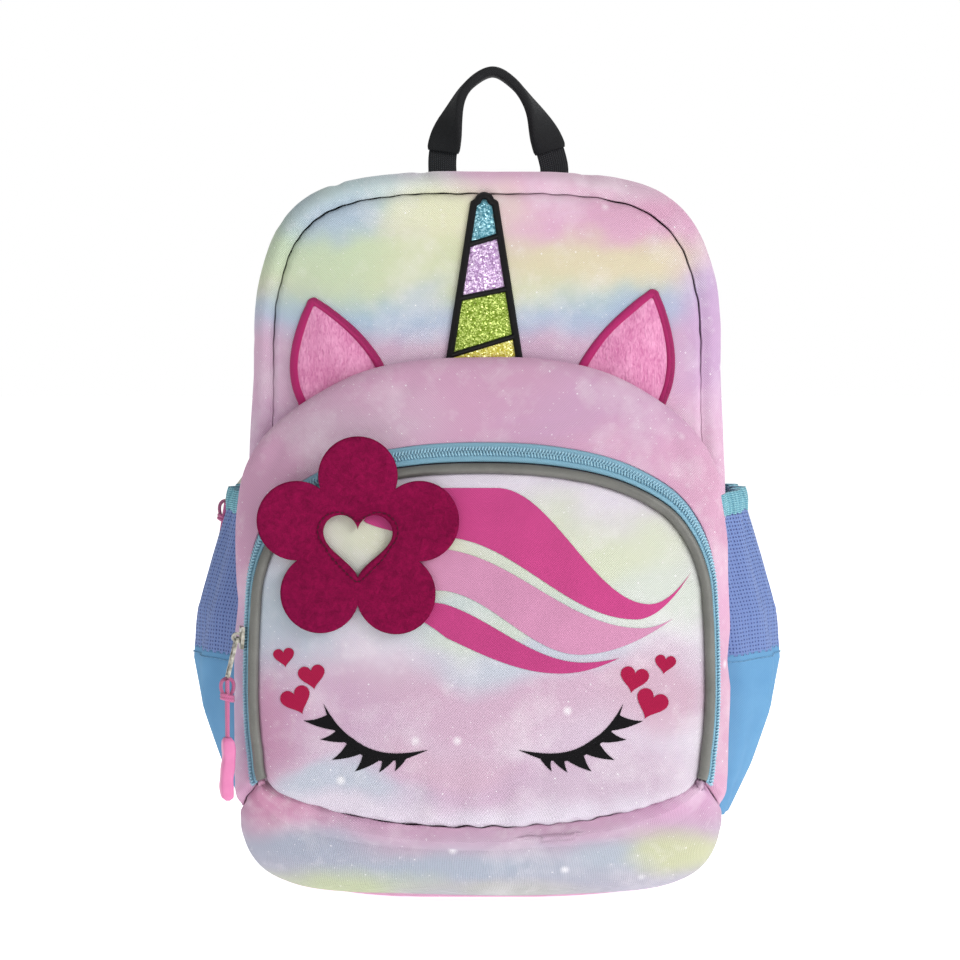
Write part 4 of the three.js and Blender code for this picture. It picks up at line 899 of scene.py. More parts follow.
def printed(name, colour):
    """Ink that has sunk into the weave: the cloth's threads are raised through it, with painted shade in their
    grooves, a painted highlight on their crests and a random wash.
    """
    material = finish_of(name, colour, 0.8, Specular_IOR_Level=0.15)
    weave = weave_on(material)
    wash = noise(material, place_on(material), 60.0, Detail=3.0)
    # Partly painted shade and highlight from the weave's height, partly a random wash in the ink.
    share = weighed(material, weave, 0.6, wash, 0.4)
    dark = "#" + "".join(f"{int(int(colour[k:k + 2], 16) * 0.78):02x}" for k in (1, 3, 5))
    return surfaced(material, weave, 0.00015, share, colour, dark)


def on_face(x, z):
    """Points of the face at x and z, on top of its cloth."""
    points = np.stack([x, face_depth(x, z) - INK, z], -1)
    points[..., 1] += creased(points, FACE_CREASES) + sag(x, z)
    return points


def between(edge_a, edge_b):
    """A printed shape between two edges, each a table of x and z read by a smooth curve."""
    a, b = (catmull(np.array(edge), np.linspace(0, len(edge) - 1, 60)) for edge in (edge_a, edge_b))
    share = np.linspace(0, 1, 5)[:, None, None]
    both = a * (1 - share) + b * share
    return on_face(both[..., 0], both[..., 1])


def heart_edge(angle, width):
    """A heart's edge: sixteen times the cube of a sine across, and four cosines of rising order up."""
    up = 13 * np.cos(angle) - 5 * np.cos(2 * angle) - 2 * np.cos(3 * angle) - np.cos(4 * angle)
    return 16 * np.sin(angle) ** 3 * width / 32, up * width / 32


def heart(x, z, width, turn):
    """A heart, filled from its edge to its middle and turned."""
    hx, hz = (part * np.linspace(1, 0, 6)[:, None] for part in heart_edge(np.linspace(0, 2 * np.pi, 49), width))
    return on_face(x + hx * np.cos(turn) - hz * np.sin(turn), z + hx * np.sin(turn) + hz * np.cos(turn))


def lash(start, end, tip, side):
    """One lash: a blade that stands on the lid from start to end, and both of whose sides bend downwards on their
    way to its tip by an eighth of its length."""
    start, end, tip = np.array(start), np.array(end), np.array(tip)
    way = tip - (start + end) / 2
    bend = 0.12 * side * np.array([way[1], -way[0]])
    s = np.linspace(0, 1, 16)[:, None]
    inner, outer = (foot * (1 - s) ** 2 + (foot + tip + 2 * bend) * s * (1 - s) + tip * s ** 2
                    for foot in (start, end))
    both = inner + (outer - inner) * np.linspace(0, 1, 5)[:, None, None]
    return on_face(both[..., 0], both[..., 1])


EYE_INNER = 0.024
EYE_WIDTH = 0.0562
EYE_HEIGHT = 0.0893
EYE_DIP = 0.0022
EYE_LIFT = 0.0248
# The lid's thickness in millimetres at shares of its width.
LID = ([0, .1, .21, .315, .44, .62, .765, .873, .95, 1], [0, 1.5, 3.2, 3.9, 4.9, 5.8, 5.4, 5.2, 4.0, 0])
# Each lash: where it starts and ends on the lid, and where its tip is, across as a share and up in millimetres.
LASHES = (
    (.20, .315, .321, -12.0), (.315, .44, .473, -12.6), (.44, .62, .700, -12.0), (.62, .765, .920, -5.8),
    (.765, .873, 1.033, 5.3), (.873, .96, 1.19, 15.2),
)


def lid_at(s):
    """The lid's upper edge at a share of its width from its inner end: a dip as a sine, and a rise outwards as the
    share to the power of 4.3."""
    return EYE_HEIGHT - EYE_DIP * np.sin(np.pi * np.minimum(1, s * 1.4)) + EYE_LIFT * s ** 4.3


for side, tag in ((-1, "left"), (1, "right")):
    def over_eye(s):
        return POCKET_OFFSET - 0.0045 + side * (EYE_INNER + EYE_WIDTH * s)

    s = np.linspace(0, 1, 25)
    thick = np.interp(s, *LID) / 1000
    grids = [between(np.stack([over_eye(s), lid_at(s)], -1), np.stack([over_eye(s), lid_at(s) - thick], -1))]
    for start, end, tip_s, tip_up in LASHES:
        feet = [(over_eye(at), lid_at(at) - 0.7 * np.interp(at, *LID) / 1000) for at in (start, end)]
        grids.append(lash(*feet, (over_eye(tip_s), EYE_HEIGHT + tip_up / 1000), side))
    piece("print_eye_" + tag, grids, bpy.data.materials.get("ink_black") or printed("ink_black", "#0d0c0f"),
          "cloth_face", inside=POCKET_MIDDLE)
red = printed("ink_red", "#b01848")
for tag, spots in (("left", ((-.1088, .1388, .0114, .15), (-.0938, .1287, .0146, .18), (-.1022, .1158, .0166, .40))),
                   ("right", ((.0952, .1352, .0114, -.15), (.0785, .1274, .0154, -.2), (.0878, .1140, .0176, -.40)))):
    piece("print_hearts_" + tag, [heart(*spot) for spot in spots], red, "cloth_face", inside=POCKET_MIDDLE)

MANE_PINKS = ("#d24b8e", "#dc98bd", "#cb4788")
# Each lock: where it starts, then for its upper and its lower edge the height at the left, where the fall starts
# and ends, and the height there, and last the tip.
MANE_LOCKS = (
    ((-.066, .2115), (.2290, .005, .087, .1670), (.2030, -.024, .080, .1590), (.1092, .1841)),
    ((-.060, .1880), (.1970, -.029, .083, .1542), (.1750, -.027, .050, .1405), (.0997, .1594)),
    ((-.052, .1650), (.1700, -.038, .052, .1362), (.1650, -.075, .040, .1305), (.0704, .1384)),
)


def lock_edge(x, high, fall_start, dip, low, tip):
    """One edge of a lock: it falls as half a cosine to its dip, and rises from there to the tip as the share of
    the way to the power of 1.9."""
    fall = (1 - np.cos(np.pi * np.clip((x - fall_start) / (dip - fall_start), 0, 1))) / 2
    rise = np.clip((x - dip) / (tip[0] - dip), 0, 1) ** 1.9
    return high + (low - high) * fall + (tip[1] - low) * rise


for k, (colour, (start, upper, lower, tip)) in enumerate(zip(MANE_PINKS, MANE_LOCKS)):
    x = np.linspace(start[0], tip[0], 90)
    opening = np.clip((x - start[0]) / 0.030, 0, 1) ** 0.7
    edges = [start[1] + (lock_edge(x, *edge, tip) - start[1]) * opening for edge in (upper, lower)]
    z = edges[0] + (edges[1] - edges[0]) * np.linspace(0, 1, 9)[:, None]
    piece(f"print_mane_{k + 1}", on_face(np.broadcast_to(x, z.shape), z), printed(f"ink_mane_{k + 1}", colour),
          "cloth_face", inside=POCKET_MIDDLE)


# The horn: four pieces of glitter cloth laid on the front panel between slanted bars.
# A black satin stitch, a dense roll of thread across each edge, holds them and covers their edges.
HORN_LENGTH = 0.087
HORN_BASE_WIDTH = 0.041
HORN_TIP_WIDTH = 0.011
HORN_STITCH = 0.004
HORN_OFFSET = -0.0015
HORN_FOOT = POCKET_HEIGHT + 0.0025
HORN_START = -0.045
HORN_DIVIDERS = (0.055, 0.378, 0.712)
HORN_SLANTS = (0.3, 0.2, 0.3)
GLITTERS = (("gold", "#d8cc3a", "#f7f3a8"), ("green", "#7d9a1c", "#cfe07a"), ("lilac", "#b88fc4", "#f1def6"),
            ("teal", "#4a8fa2", "#a2d2dc"))
STITCH_PITCH = 0.00055
SEATED = 0.0004


def satin(name, colour, dark):
    """Satin stitch: threads side by side across the roll, raised and glossy, on the UV map, with a painted highlight
    on their crests and painted shade between them.
    """
    material = finish_of(name, colour, 0.5, Specular_IOR_Level=0.3, Anisotropic=0.4)
    uv = place_on(material, "UV")
    threads = ribbed(material, uv, STITCH_PITCH, "Y", Distortion=0.8, Detail=1.0)
    # Painted highlight and shade: the threads' height also runs the colour from dark between them to light on their
    # crests.
    return surfaced(material, threads, STITCH_PITCH * 0.5, threads, colour, dark)


def glitter(name, colour, glint_colour):
    """Glitter cloth: flakes in random cells, each with its own tilt, and most of them painted paler by chance as
    glints.
    """
    material = finish_of(name, colour, 0.3, Metallic=0.35)
    where = place_on(material)
    flakes = node(material, "TexVoronoi", {"Vector": where, "Scale": 1500.0})
    chance = node(material, "SeparateColor", {0: flakes["Color"]})
    spark = spread_out(material, chance[0], 0.35, 1.0)
    # Painted glints: about two flakes in three are painted paler by chance, towards the pale colour; their tilt gives
    # them real glints as well.
    tint(material, spark, glint_colour, colour)
    tilt = vector_sums(material, "MULTIPLY_ADD", flakes["Color"], (0.9, 0.9, 0.9), (-0.45, -0.45, -0.45))
    turned = vector_sums(material, "ADD", node(material, "NewGeometry")["Normal"], tilt)
    feed(material, vector_sums(material, "NORMALIZE", turned), "Normal")
    return material


def on_front(x, z, lift):
    """Points of the front panel at x and z, lift in front of its cloth."""
    return np.stack([x, front_depth(x, z) - lift, z], -1)


def stitched_roll(outline, width, height, count):
    """A roll of satin stitch along an outline of x and z: half an ellipse, width wide and height high."""
    line = np.asarray(outline, float)
    flat = np.stack([line[:, 0], np.zeros(len(line)), line[:, 1]], -1)
    flat, = resampled(flat, count=count)
    way = unit(np.gradient(flat, axis=0))
    across = np.stack([way[:, 2], np.zeros(count), -way[:, 0]], -1)
    angle = np.linspace(0, np.pi, 9)
    spread = flat[:, None] + across[:, None] * (np.cos(angle) * width / 2)[None, :, None]
    return on_front(spread[..., 0], spread[..., 2], SEATED + height * np.sin(angle))


def horn_at(across, share, slant=0.0):
    """A point of the horn: across from -1 to 1, share from its foot to its tip."""
    half = (HORN_BASE_WIDTH + (HORN_TIP_WIDTH - HORN_BASE_WIDTH) * share) / 2
    return np.stack(np.broadcast_arrays(
        HORN_OFFSET + across * half, HORN_FOOT + HORN_LENGTH * share + slant * across * half), -1)


black_stitch = satin("horn_stitching", "#131315", "#050506")
inset = 1 - HORN_STITCH / HORN_BASE_WIDTH
left_side = horn_at(-inset, np.linspace(HORN_START, 0.94, 30))
cap_angle = np.linspace(np.pi * 0.97, np.pi * 0.03, 16)
tip_half = HORN_TIP_WIDTH / 2 - HORN_STITCH / 2
tip = np.stack([HORN_OFFSET + tip_half * np.cos(cap_angle),
                HORN_FOOT + HORN_LENGTH * 0.95 + tip_half * np.sin(cap_angle)], -1)
horn_rolls = [stitched_roll(np.concatenate([left_side, tip, horn_at(inset, np.linspace(0.94, HORN_START, 30))]),
                            HORN_STITCH, 0.0019, count=600)]
for share, slant in zip(HORN_DIVIDERS, HORN_SLANTS):
    horn_rolls.append(stitched_roll(horn_at(np.linspace(-inset, inset, 20), share, slant), HORN_STITCH * 0.75,
                                    0.0017, count=100))
piece("horn_outline", horn_rolls, black_stitch, "horn_stitching", nodes=["horn_outline"], inside=BAG_MIDDLE)
bars = ((HORN_START, 0.0), *zip(HORN_DIVIDERS, HORN_SLANTS), (0.97, 0.0))
for k, (tag, dark, glint_colour) in enumerate(GLITTERS):
    (low, low_slant), (high, high_slant) = bars[k], bars[k + 1]
    share = np.linspace(low, high, 12)[:, None]
    slants = low_slant + (high_slant - low_slant) * (share - low) / (high - low)
    patch = horn_at(np.linspace(-0.93, 0.93, 14)[None], share, slants)
    crown = 0.0008 * bow(14) * bow(12)[:, None]
    piece(f"horn_glitter_{k + 1}", on_front(patch[..., 0], patch[..., 1], SEATED + crown),
          glitter("glitter_" + tag, dark, glint_colour), "glitter_" + tag, nodes=[f"horn_glitter_{k + 1}"],
          inside=BAG_MIDDLE, wall=0.0003)


# The ears: a pad of short plush with a magenta satin stitch round it, sewn flat on the front panel.
# Each rises from the seam of the pocket, leans outwards and is fuller on its outer side. The left one is lower.
EAR_HEIGHT = 0.051
EAR_WIDTH = 0.054
EAR_OFFSET = 0.076
EAR_LEAN = np.radians(19)
EAR_TRIM = 0.005
# The half widths from the foot to the tip: the outer side is full, the inner side nearly straight.
EAR_OUTER = [(1.0,), (1.0,), (.92,), (.76,), (.54,), (.28,), (.0,)]
EAR_INNER = [(1.0,), (.91,), (.78,), (.62,), (.43,), (.22,), (.0,)]
EAR_SAG = 0.005
ARCH_GAP = 0.0025


def plush():
    """Short plush: fibres combed down in soft streaks, pale where the pile leans to the light."""
    material = finish_of("plush", "#d688b0", 0.95, Sheen_Weight=0.3, Sheen_Roughness=0.35)
    where = place_on(material, scale=(1, 1, 0.4))
    combed = noise(material, where, 110.0, Detail=3.0, Distortion=0.4)
    fibre = noise(material, where, 900.0, Detail=3.0, Distortion=0.6)
    share = weighed(material, combed, 0.45, fibre, 0.55)
    return surfaced(material, share, 0.0016, spread_out(material, share, 0.36, 0.64), "#e6a0c4", "#c56f9c")


def ear_at(side, across, share):
    """A point of an ear: its foot lies along the pocket's seam, and it narrows and leans outwards to its tip."""
    us = np.linspace(POCKET_TURN / 2 - 5, POCKET_TURN / 2, 400)
    foot = us[np.argmin(np.abs(pocket_outline(us, 0.0)[:, 0] - POCKET_OFFSET - EAR_OFFSET))]
    arch_u = foot if side > 0 else POCKET_TURN - foot
    here = pocket_outline(np.array([arch_u]), 0.0)[0]
    step = pocket_outline(np.array([arch_u + 0.02]), 0.0)[0] - pocket_outline(np.array([arch_u - 0.02]), 0.0)[0]
    normal = unit(np.array([step[2], 0, -step[0]]))
    up = np.array([np.sin(side * EAR_LEAN), 0, np.cos(EAR_LEAN)])
    foot_across = np.array([normal[2], 0, -normal[0]])
    tip_across = np.array([up[2], 0, -up[0]])
    across, share = np.broadcast_arrays(across, share)
    full, straight = (catmull(shape, share * (len(shape) - 1))[..., 0] for shape in (EAR_OUTER, EAR_INNER))
    half = across * EAR_WIDTH / 2 * np.where(across * side > 0, full, straight)
    ahead = pocket_outline(np.array([arch_u + 0.1]), 0.0)[0]
    speed = np.linalg.norm(ahead - here) / 0.1
    arched = pocket_outline(arch_u - half / speed, np.zeros_like(half))
    level = here + foot_across * half[..., None]
    way = foot_across * (1 - share[..., None]) + tip_across * share[..., None]
    height = EAR_HEIGHT - EAR_SAG * (side < 0)
    p = here + normal * ARCH_GAP + up * height * share[..., None] + way * half[..., None]
    p = p + (arched - level) * (1 - share[..., None])
    return p[..., 0], p[..., 2]


plush_finish = plush()
trim_finish = satin("ear_stitching", "#d4337f", "#a21f60")
for side, tag in ((1, "right"), (-1, "left")):
    rim = 1 - EAR_TRIM / EAR_WIDTH
    shares = np.linspace(-0.05, 0.97, 40)
    path = [np.stack(ear_at(side, np.full(40, -rim), shares), -1),
            np.stack(ear_at(side, np.full(40, rim), shares[::-1]), -1)]
    piece("ear_trim_" + tag, stitched_roll(np.concatenate(path), EAR_TRIM, 0.0022, count=700), trim_finish,
          "ear_stitching", nodes=["ear_trim_" + tag], inside=BAG_MIDDLE)
    across, share = np.linspace(-0.93, 0.93, 30)[None], np.linspace(-0.05, 0.92, 40)[:, None]
    px, pz = ear_at(side, across, share)
    crown = 0.0026 * (1 - across ** 2) * np.clip(1 - (2 * share - 0.8) ** 2 / 1.5, 0, 1)
    dent = 0.0006 * np.sin(px / 0.006 + pz / 0.009)
    pad = piece("ear_plush_" + tag, on_front(px, pz, SEATED + 0.0004 + crown + dent * (1 - across ** 2)),
                plush_finish, "plush", nodes=["ear_plush_" + tag], inside=BAG_MIDDLE, wall=0.0006)


# The flower: 3 mm felt cut in one piece, five round petals about a heart shaped hole.
# It is sewn to the face round the hole only, so its petals stand free over the zip and the piping.
FLOWER_X = -0.069
FLOWER_Z = 0.201
PETALS = 5
PETAL_RADIUS = 0.0212
PETAL_ORBIT = 0.0345
HEART_WIDTH = 0.037
FELT = 0.003
FELT_MAGENTA = "#8c0c43"


def felt():
    """Felt: matted fibres as noise at three sizes, rough, with paler fibres standing out."""
    material = finish_of("felt", FELT_MAGENTA, 0.95, Specular_IOR_Level=0.1)
    where = place_on(material)
    mat = noise(material, where, 260.0, Detail=6.0, Roughness=0.7, Distortion=0.8)
    hairs = noise(material, where, 1400.0, Detail=3.0, Distortion=2.5)
    share = weighed(material, hairs, 0.5, mat, 0.6)
    return surfaced(material, share, 0.0009, spread_out(material, share, 0.38, 0.72), "#99104b", "#60052f")


def petal_reach(angle):
    """How far the flower's edge is from its middle: the farthest of the five petals' circles at that angle."""
    off = angle - np.pi / 2 - 2 * np.pi * np.arange(PETALS)[:, None] / PETALS
    sideways = PETAL_ORBIT * np.sin(off)
    ahead = PETAL_ORBIT * np.cos(off) + np.sqrt(np.maximum(0, PETAL_RADIUS ** 2 - sideways ** 2))
    return np.where(np.cos(off) > 0, ahead, 0).max(0)


def flower_at(angle, share):
    """A point of the flower, from the heart shaped hole at share 0 to the petals' edge at share 1."""
    hx, hz = heart_edge(np.pi / 2 - angle, HEART_WIDTH)
    reach = petal_reach(angle)
    x = hx + (reach * np.cos(angle) - hx) * share
    z = hz + (reach * np.sin(angle) - hz) * share
    return FLOWER_X + x, FLOWER_Z + z


def over_piping(x, z):
    """The surface the flower lies on: the face, or the front of the piping where that stands prouder."""
    return np.minimum(face_depth(x, z), FACE_Y - PIPING_DIAMETER / 2)


turn = np.linspace(0, 2 * np.pi, 481) + np.pi / 2
edge = np.linspace(0, np.pi / 2, 5)
outward = np.concatenate([0.03 * (1 - np.sin(edge)), np.linspace(0.05, 0.95, 22), 1 - 0.03 * (1 - np.sin(edge[::-1]))])
rise = np.concatenate([1 - np.cos(edge), np.ones(22), 1 - np.cos(edge[::-1])])
fx, fz = flower_at(turn[None], np.concatenate([outward, outward[::-1]])[:, None])
height = np.concatenate([0.5 + 0.5 * rise, 0.5 - 0.5 * rise[::-1]])[:, None] * FELT
curl = 0.0006 * np.sin(5 * turn + 0.6)[None] * np.concatenate([outward, outward[::-1]])[:, None] ** 3
flower = np.stack([fx, over_piping(fx, fz) - 2 * SEATED - height - curl - 0.0003, fz], -1)
flower = np.concatenate([flower, flower[:1]])
felt_finish = felt()
flower_piece = piece("felt_flower", flower, felt_finish, "felt", nodes=["felt_flower"])


def dashes(line, out, pitch, long, thick):
    """A row of stitches: short threads along a line, each a bead that rises off the cloth and dips in again."""
    count = int(lengths(line, 0)[-1] / pitch)
    line, out = resampled(line, out, count=count * 6 + 1)
    s = np.linspace(0, 1, 6)
    grids = []
    for k in range(count):
        part = slice(k * 6, k * 6 + 6)
        way = line[part][-1] - line[part][0]
        middle = line[part].mean(0)
        arc = middle + np.outer((s - 0.5) * long / pitch, way) * 1.2 + np.outer(np.sin(np.pi * s) * thick * 0.6,
                                                                                unit(out[part].mean(0)))
        grids.append(carried(arc, ring(5) * thick / 2 * np.sin(np.pi * np.clip(s, 0.08, 0.92))[:, None, None] ** 0.5,
                             side=unit(out[part].mean(0))))
    return grids


hole_x, hole_z = flower_at(turn, np.full(481, 0.09))
hole_line = np.stack([hole_x, over_piping(hole_x, hole_z) - FELT - 2 * SEATED - 0.0003, hole_z], -1)
thread_finish = satin("felt_thread", "#5e0a2e", "#34041a")
piece("felt_flower_stitches", dashes(hole_line, np.tile([0.0, -1, 0], (481, 1)), 0.0028, 0.0022, 0.0007),
      thread_finish, "felt")


# The side pockets: a foot of plain blue cloth, a stretch mesh above it and an elastic binding at the mouth.
# All three are gathered onto the side panel's seams, so the pocket stands out and its mouth pulls in.
SIDE_BULGE = 0.028
SIDE_LOW = 0.046
SIDE_SEAM = 0.134
SIDE_TOP = 0.224
BINDING_HEIGHT = 0.012
MESH = 0.0012
BINDING = 0.002
SIDE_SWELL = ([0, .14, .3, .46, .62, .78, .92, 1], [0, .44, .84, 1, .9, .62, .36, .3])
SIDE_REAR = 0.7
SIDE_FRONT = 6.35


def stretch_mesh():
    """Stretch mesh: rows of small round holes in a knit, with painted shade darkening the holes and the threads pale.
    """
    material = finish_of("side_mesh", "#5f7fc0", 0.7, Sheen_Weight=0.15)
    uv = place_on(material, "UV", (1 / 0.0021, 1 / 0.0021, 1))
    holes = node(material, "TexVoronoi", {"Vector": uv, "Scale": 1.0, "Randomness": 0.12},
                 voronoi_dimensions="2D")["Distance"]
    knit = ribbed(material, place_on(material, "UV"), 0.314 / 420, "X")
    solid = spread_out(material, holes, 0.16, 0.3)
    # Painted shade: the colour runs dark in each hole, where the shaded inside of the pocket would show through.
    return surfaced(material, sums(material, "MULTIPLY_ADD", knit, 0.25, solid), 0.0005, solid, "#6a82ba", "#34498a")


def plain_cloth(name, light, dark):
    """Plain polyester: the weave of the bag's cloth, with painted shade in its grooves and a painted highlight on its
    crests, and faint wear.
    """
    material = finish_of(name, light, 0.8, Specular_IOR_Level=0.25)
    weave = weave_on(material)
    wear = noise(material, place_on(material), 40.0, Detail=5.0)
    share = weighed(material, weave, 0.4, wear, 0.7)
    # Partly painted shade and highlight from the weave's height, partly random wear.
    return surfaced(material, weave, 0.00015, share, light, dark)


def elastic():
    """Elastic binding: fine ribs along it, gathered in small waves across, with painted shade in the troughs of the
    ribs and gathers and a painted highlight on their crests.
    """
    material = finish_of("elastic", "#77b9c8", 0.7, Sheen_Weight=0.1)
    uv = place_on(material, "UV")
    ribs = ribbed(material, uv, 0.0012, "Y")
    gathers = ribbed(material, uv, 0.0028, "X", Distortion=1.5)
    height = sums(material, "MULTIPLY_ADD", gathers, 0.7, ribs)
    # Painted shade and highlight: the height of the ribs and gathers also runs the colour from dark in their troughs
    # to light on their crests.
    return surfaced(material, height, 0.0005, sums(material, "MULTIPLY", height, 0.6), "#8fcbd8", "#4f93a8")


def side_u(z):
    """Where the body's outline passes a height, on its right side."""
    u = np.linspace(BASE_END - 2, ZIP_END + 4, 800)
    return np.interp(z, body_side(u, np.full(800, 3.0))[:, 2], u)


def side_pocket(side, low, high, rows, gathers=0.0):
    """A side pocket between two heights: the side panel's own surface, moved out by a swell that is greatest at
    its middle and in its lower half, with folds that fan out from its foot."""
    z = np.linspace(low, high, rows)[:, None]
    a = np.linspace(0, 1, 120)[None]
    z, a = np.broadcast_arrays(z, a)
    points = body_side(side * side_u(z), SIDE_REAR + (SIDE_FRONT - SIDE_REAR) * a)
    out = facing(points, BAG_MIDDLE)
    up = (z - SIDE_LOW) / (SIDE_TOP - SIDE_LOW)
    swell = SIDE_BULGE * np.interp(up, *SIDE_SWELL) * np.sin(np.pi * a)
    fan = np.sin(2 * np.pi * (4.5 * a + 0.3 * np.sin(6 * up))) * np.sin(np.pi * a) * (0.0008 + 0.0026 * up)
    small = gathers * np.sin(2 * np.pi * 26 * a + 2 * np.sin(9 * a)) * np.sin(np.pi * a)
    return points + out * (SEATED + swell + fan + small + 0.0012)[..., None]


seam_thread = satin("seam_thread", "#8fbcdc", "#5f95bd")
side_cloth = plain_cloth("side_cloth", "#70a2c8", "#4a80ad")
net, band_elastic = stretch_mesh(), elastic()
for side, tag in ((1, "right"), (-1, "left")):
    mesh_top = SIDE_TOP - BINDING_HEIGHT
    parts = ((f"side_pocket_base_{tag}", SIDE_LOW, SIDE_SEAM + 0.001, 50, side_cloth, "side_cloth", CLOTH, 0.0),
             (f"side_pocket_mesh_{tag}", SIDE_SEAM, mesh_top, 50, net, "side_mesh", MESH, 0.0003),
             (f"side_pocket_binding_{tag}", mesh_top - 0.001, SIDE_TOP, 12, band_elastic, "elastic", BINDING, 0.0006))
    for name, low, high, rows, material, slot, thick, gathers in parts:
        grid = side_pocket(side, low, high, rows, gathers)
        if slot == "elastic":
            grid[..., 0] += side * 0.0008 * bow(rows)[:, None]
        piece(name, grid, material, slot, nodes=[name], inside=BAG_MIDDLE, wall=thick)
    seam = side_pocket(side, SIDE_SEAM - 0.003, SIDE_SEAM, 2)[0]
    away = np.tile([float(side), 0, 0], (len(seam), 1))
    piece("side_pocket_stitches_" + tag, dashes(seam + away * 0.0003, away, 0.0034, 0.0026, 0.0006), seam_thread,
          "side_cloth")


# The carry handle: black webbing sewn in beside the zip, whose middle is folded lengthwise in a soft sleeve.
# The webbing faces forward at its feet and is turned edge on over the top.
HANDLE_RISE = 0.061
HANDLE_LEFT = -0.025
HANDLE_RIGHT = 0.038
WEBBING = 0.0016
HANDLE_WEBBING_WIDTH = 0.016
SLEEVE_WALL = 0.0014
SLEEVE_SLACK = 0.0005
HANDLE_STEPS = 240
YARN = 0.0012
SLEEVE_FROM, SLEEVE_TO = 2 / 18, 16 / 18
HANDLE_ROUTE = [(0, 0), (0, .24), (.07, .55), (.2, .84), (.43, 1), (.63, .9), (.81, .66), (.93, .38), (1, .14), (1, 0)]


def webbing_weave(name, light, dark):
    """Webbing: a plain weave of thick yarns, as two crossed waves on the UV map, with painted shade between the yarns
    and a painted highlight where they cross on top.
    """
    material = finish_of(name, dark, 0.75, Specular_IOR_Level=0.25)
    uv = place_on(material, "UV")
    warp = ribbed(material, uv, YARN, "X")
    weft = ribbed(material, uv, YARN, "Y", Distortion=0.4)
    height = sums(material, "MULTIPLY", warp, weft)
    # Painted shade and highlight: the yarns' height also runs the colour from dark between them to light where they
    # cross.
    return surfaced(material, height, YARN * 0.4, height, light, dark)


def padded_ring(width, thickness, count=24):
    """A flat section with rounded sides: a circle's cosine and sine to the powers that square them off."""
    angle = np.linspace(0, 2 * np.pi, count + 1)
    c, s = np.cos(angle), np.sin(angle)
    x = np.sign(c) * np.abs(c) ** 0.35 * width / 2
    return np.stack([x, np.sign(s) * np.abs(s) ** 0.6 * thickness / 2], -1)


handle_t = ZIP_SECTION - zip_t - 0.45
foot_point = body_side(np.array([BODY_TURN / 2]), np.array([handle_t]))[0]
route = np.array(HANDLE_ROUTE)
route = np.stack([HANDLE_LEFT + (HANDLE_RIGHT - HANDLE_LEFT) * route[:, 0], np.full(len(route), foot_point[1]),
                  foot_point[2] + SEATED + HANDLE_RISE * route[:, 1]], -1)
handle_line, = resampled(smooth_path(route, 300), count=HANDLE_STEPS)


def handle_band(section, first, last):
    """A section carried along part of the handle's line: it faces forward at the feet and turns a quarter over
    the top, as a smooth step of the sine of the way along."""
    way = unit(np.gradient(handle_line, axis=0))
    in_plane = np.cross(way, [0, 1, 0])
    rise = np.clip((bow(len(way)) - 0.25) / 0.75, 0, 1)
    turn = np.pi / 2 * rise ** 2 * (3 - 2 * rise)
    across = in_plane * np.cos(turn)[:, None] + np.array([0, 1, 0]) * np.sin(turn)[:, None]
    out = np.cross(way, across)
    part = slice(int(first * (HANDLE_STEPS - 1)), int(last * (HANDLE_STEPS - 1)) + 1)
    return (handle_line[part, None] + section[..., :1] * across[part, None] + section[..., 1:] * out[part, None])


black_webbing = webbing_weave("webbing", "#4a4b4e", "#1e1f21")
piece("handle_webbing", capped(handle_band(padded_ring(HANDLE_WEBBING_WIDTH, WEBBING), 0, 1)), black_webbing,
      "webbing", nodes=["handle_webbing"])
sleeve_room = SLEEVE_SLACK + WEBBING / 2 + SLEEVE_WALL
sleeve_steps = int(SLEEVE_TO * (HANDLE_STEPS - 1)) - int(SLEEVE_FROM * (HANDLE_STEPS - 1)) + 1
bulge = 1 + 0.10 * bow(sleeve_steps) ** 2
lip = np.minimum(np.arange(len(bulge)), np.arange(len(bulge))[::-1])
bulge = bulge - 0.06 * np.exp(-(lip / 2.0) ** 2)
sleeve_section = padded_ring(HANDLE_WEBBING_WIDTH + sleeve_room, 2 * sleeve_room, 32) * bulge[:, None, None]
sleeve_finish = plain_cloth("sleeve", "#232426", "#141516")
piece("handle_sleeve", capped(handle_band(sleeve_section, SLEEVE_FROM, SLEEVE_TO)), sleeve_finish, "sleeve",
      nodes=["handle_sleeve"])


# The shoulder straps: foam between cloth and mesh with a bound edge, sewn into the top of the back panel.
# Each ends in a tongue round the upper bar of a ladder lock, and webbing from the base corner passes its lower bar.
STRAP_WIDTH = 0.05
STRAP_THICKNESS = 0.009
STRAP_STANDOFF = 0.036
STRAP_WEBBING_WIDTH = 0.022
LOCK_HEIGHT = 0.024
LOCK_BAR = 0.0028
LOCK_THICKNESS = 0.0026
TONGUE = 0.012
WEBBING_TAIL = 0.045
LOCK_PLACE = 0.61
STRAP_ROUTE = [
    (.25, 0, .93), (.26, .02, .905), (.285, .4, .87), (.33, .82, .8), (.4, 1, .71), (.48, 1, .61), (.56, .9, .51),
    (.62, .74, .42), (.68, .54, .32), (.73, .34, .22), (.77, .12, .135), (.785, 0, .1), (.79, 0, .075),
]
PAD_CELL = 0.004
PAD_SWELL = 0.0014
BAR_PLACE = LOCK_HEIGHT / 2 - LOCK_BAR / 2
FOLD_RADIUS = np.hypot(LOCK_BAR, LOCK_THICKNESS) / 2 + SEAM_GAP + WEBBING / 2


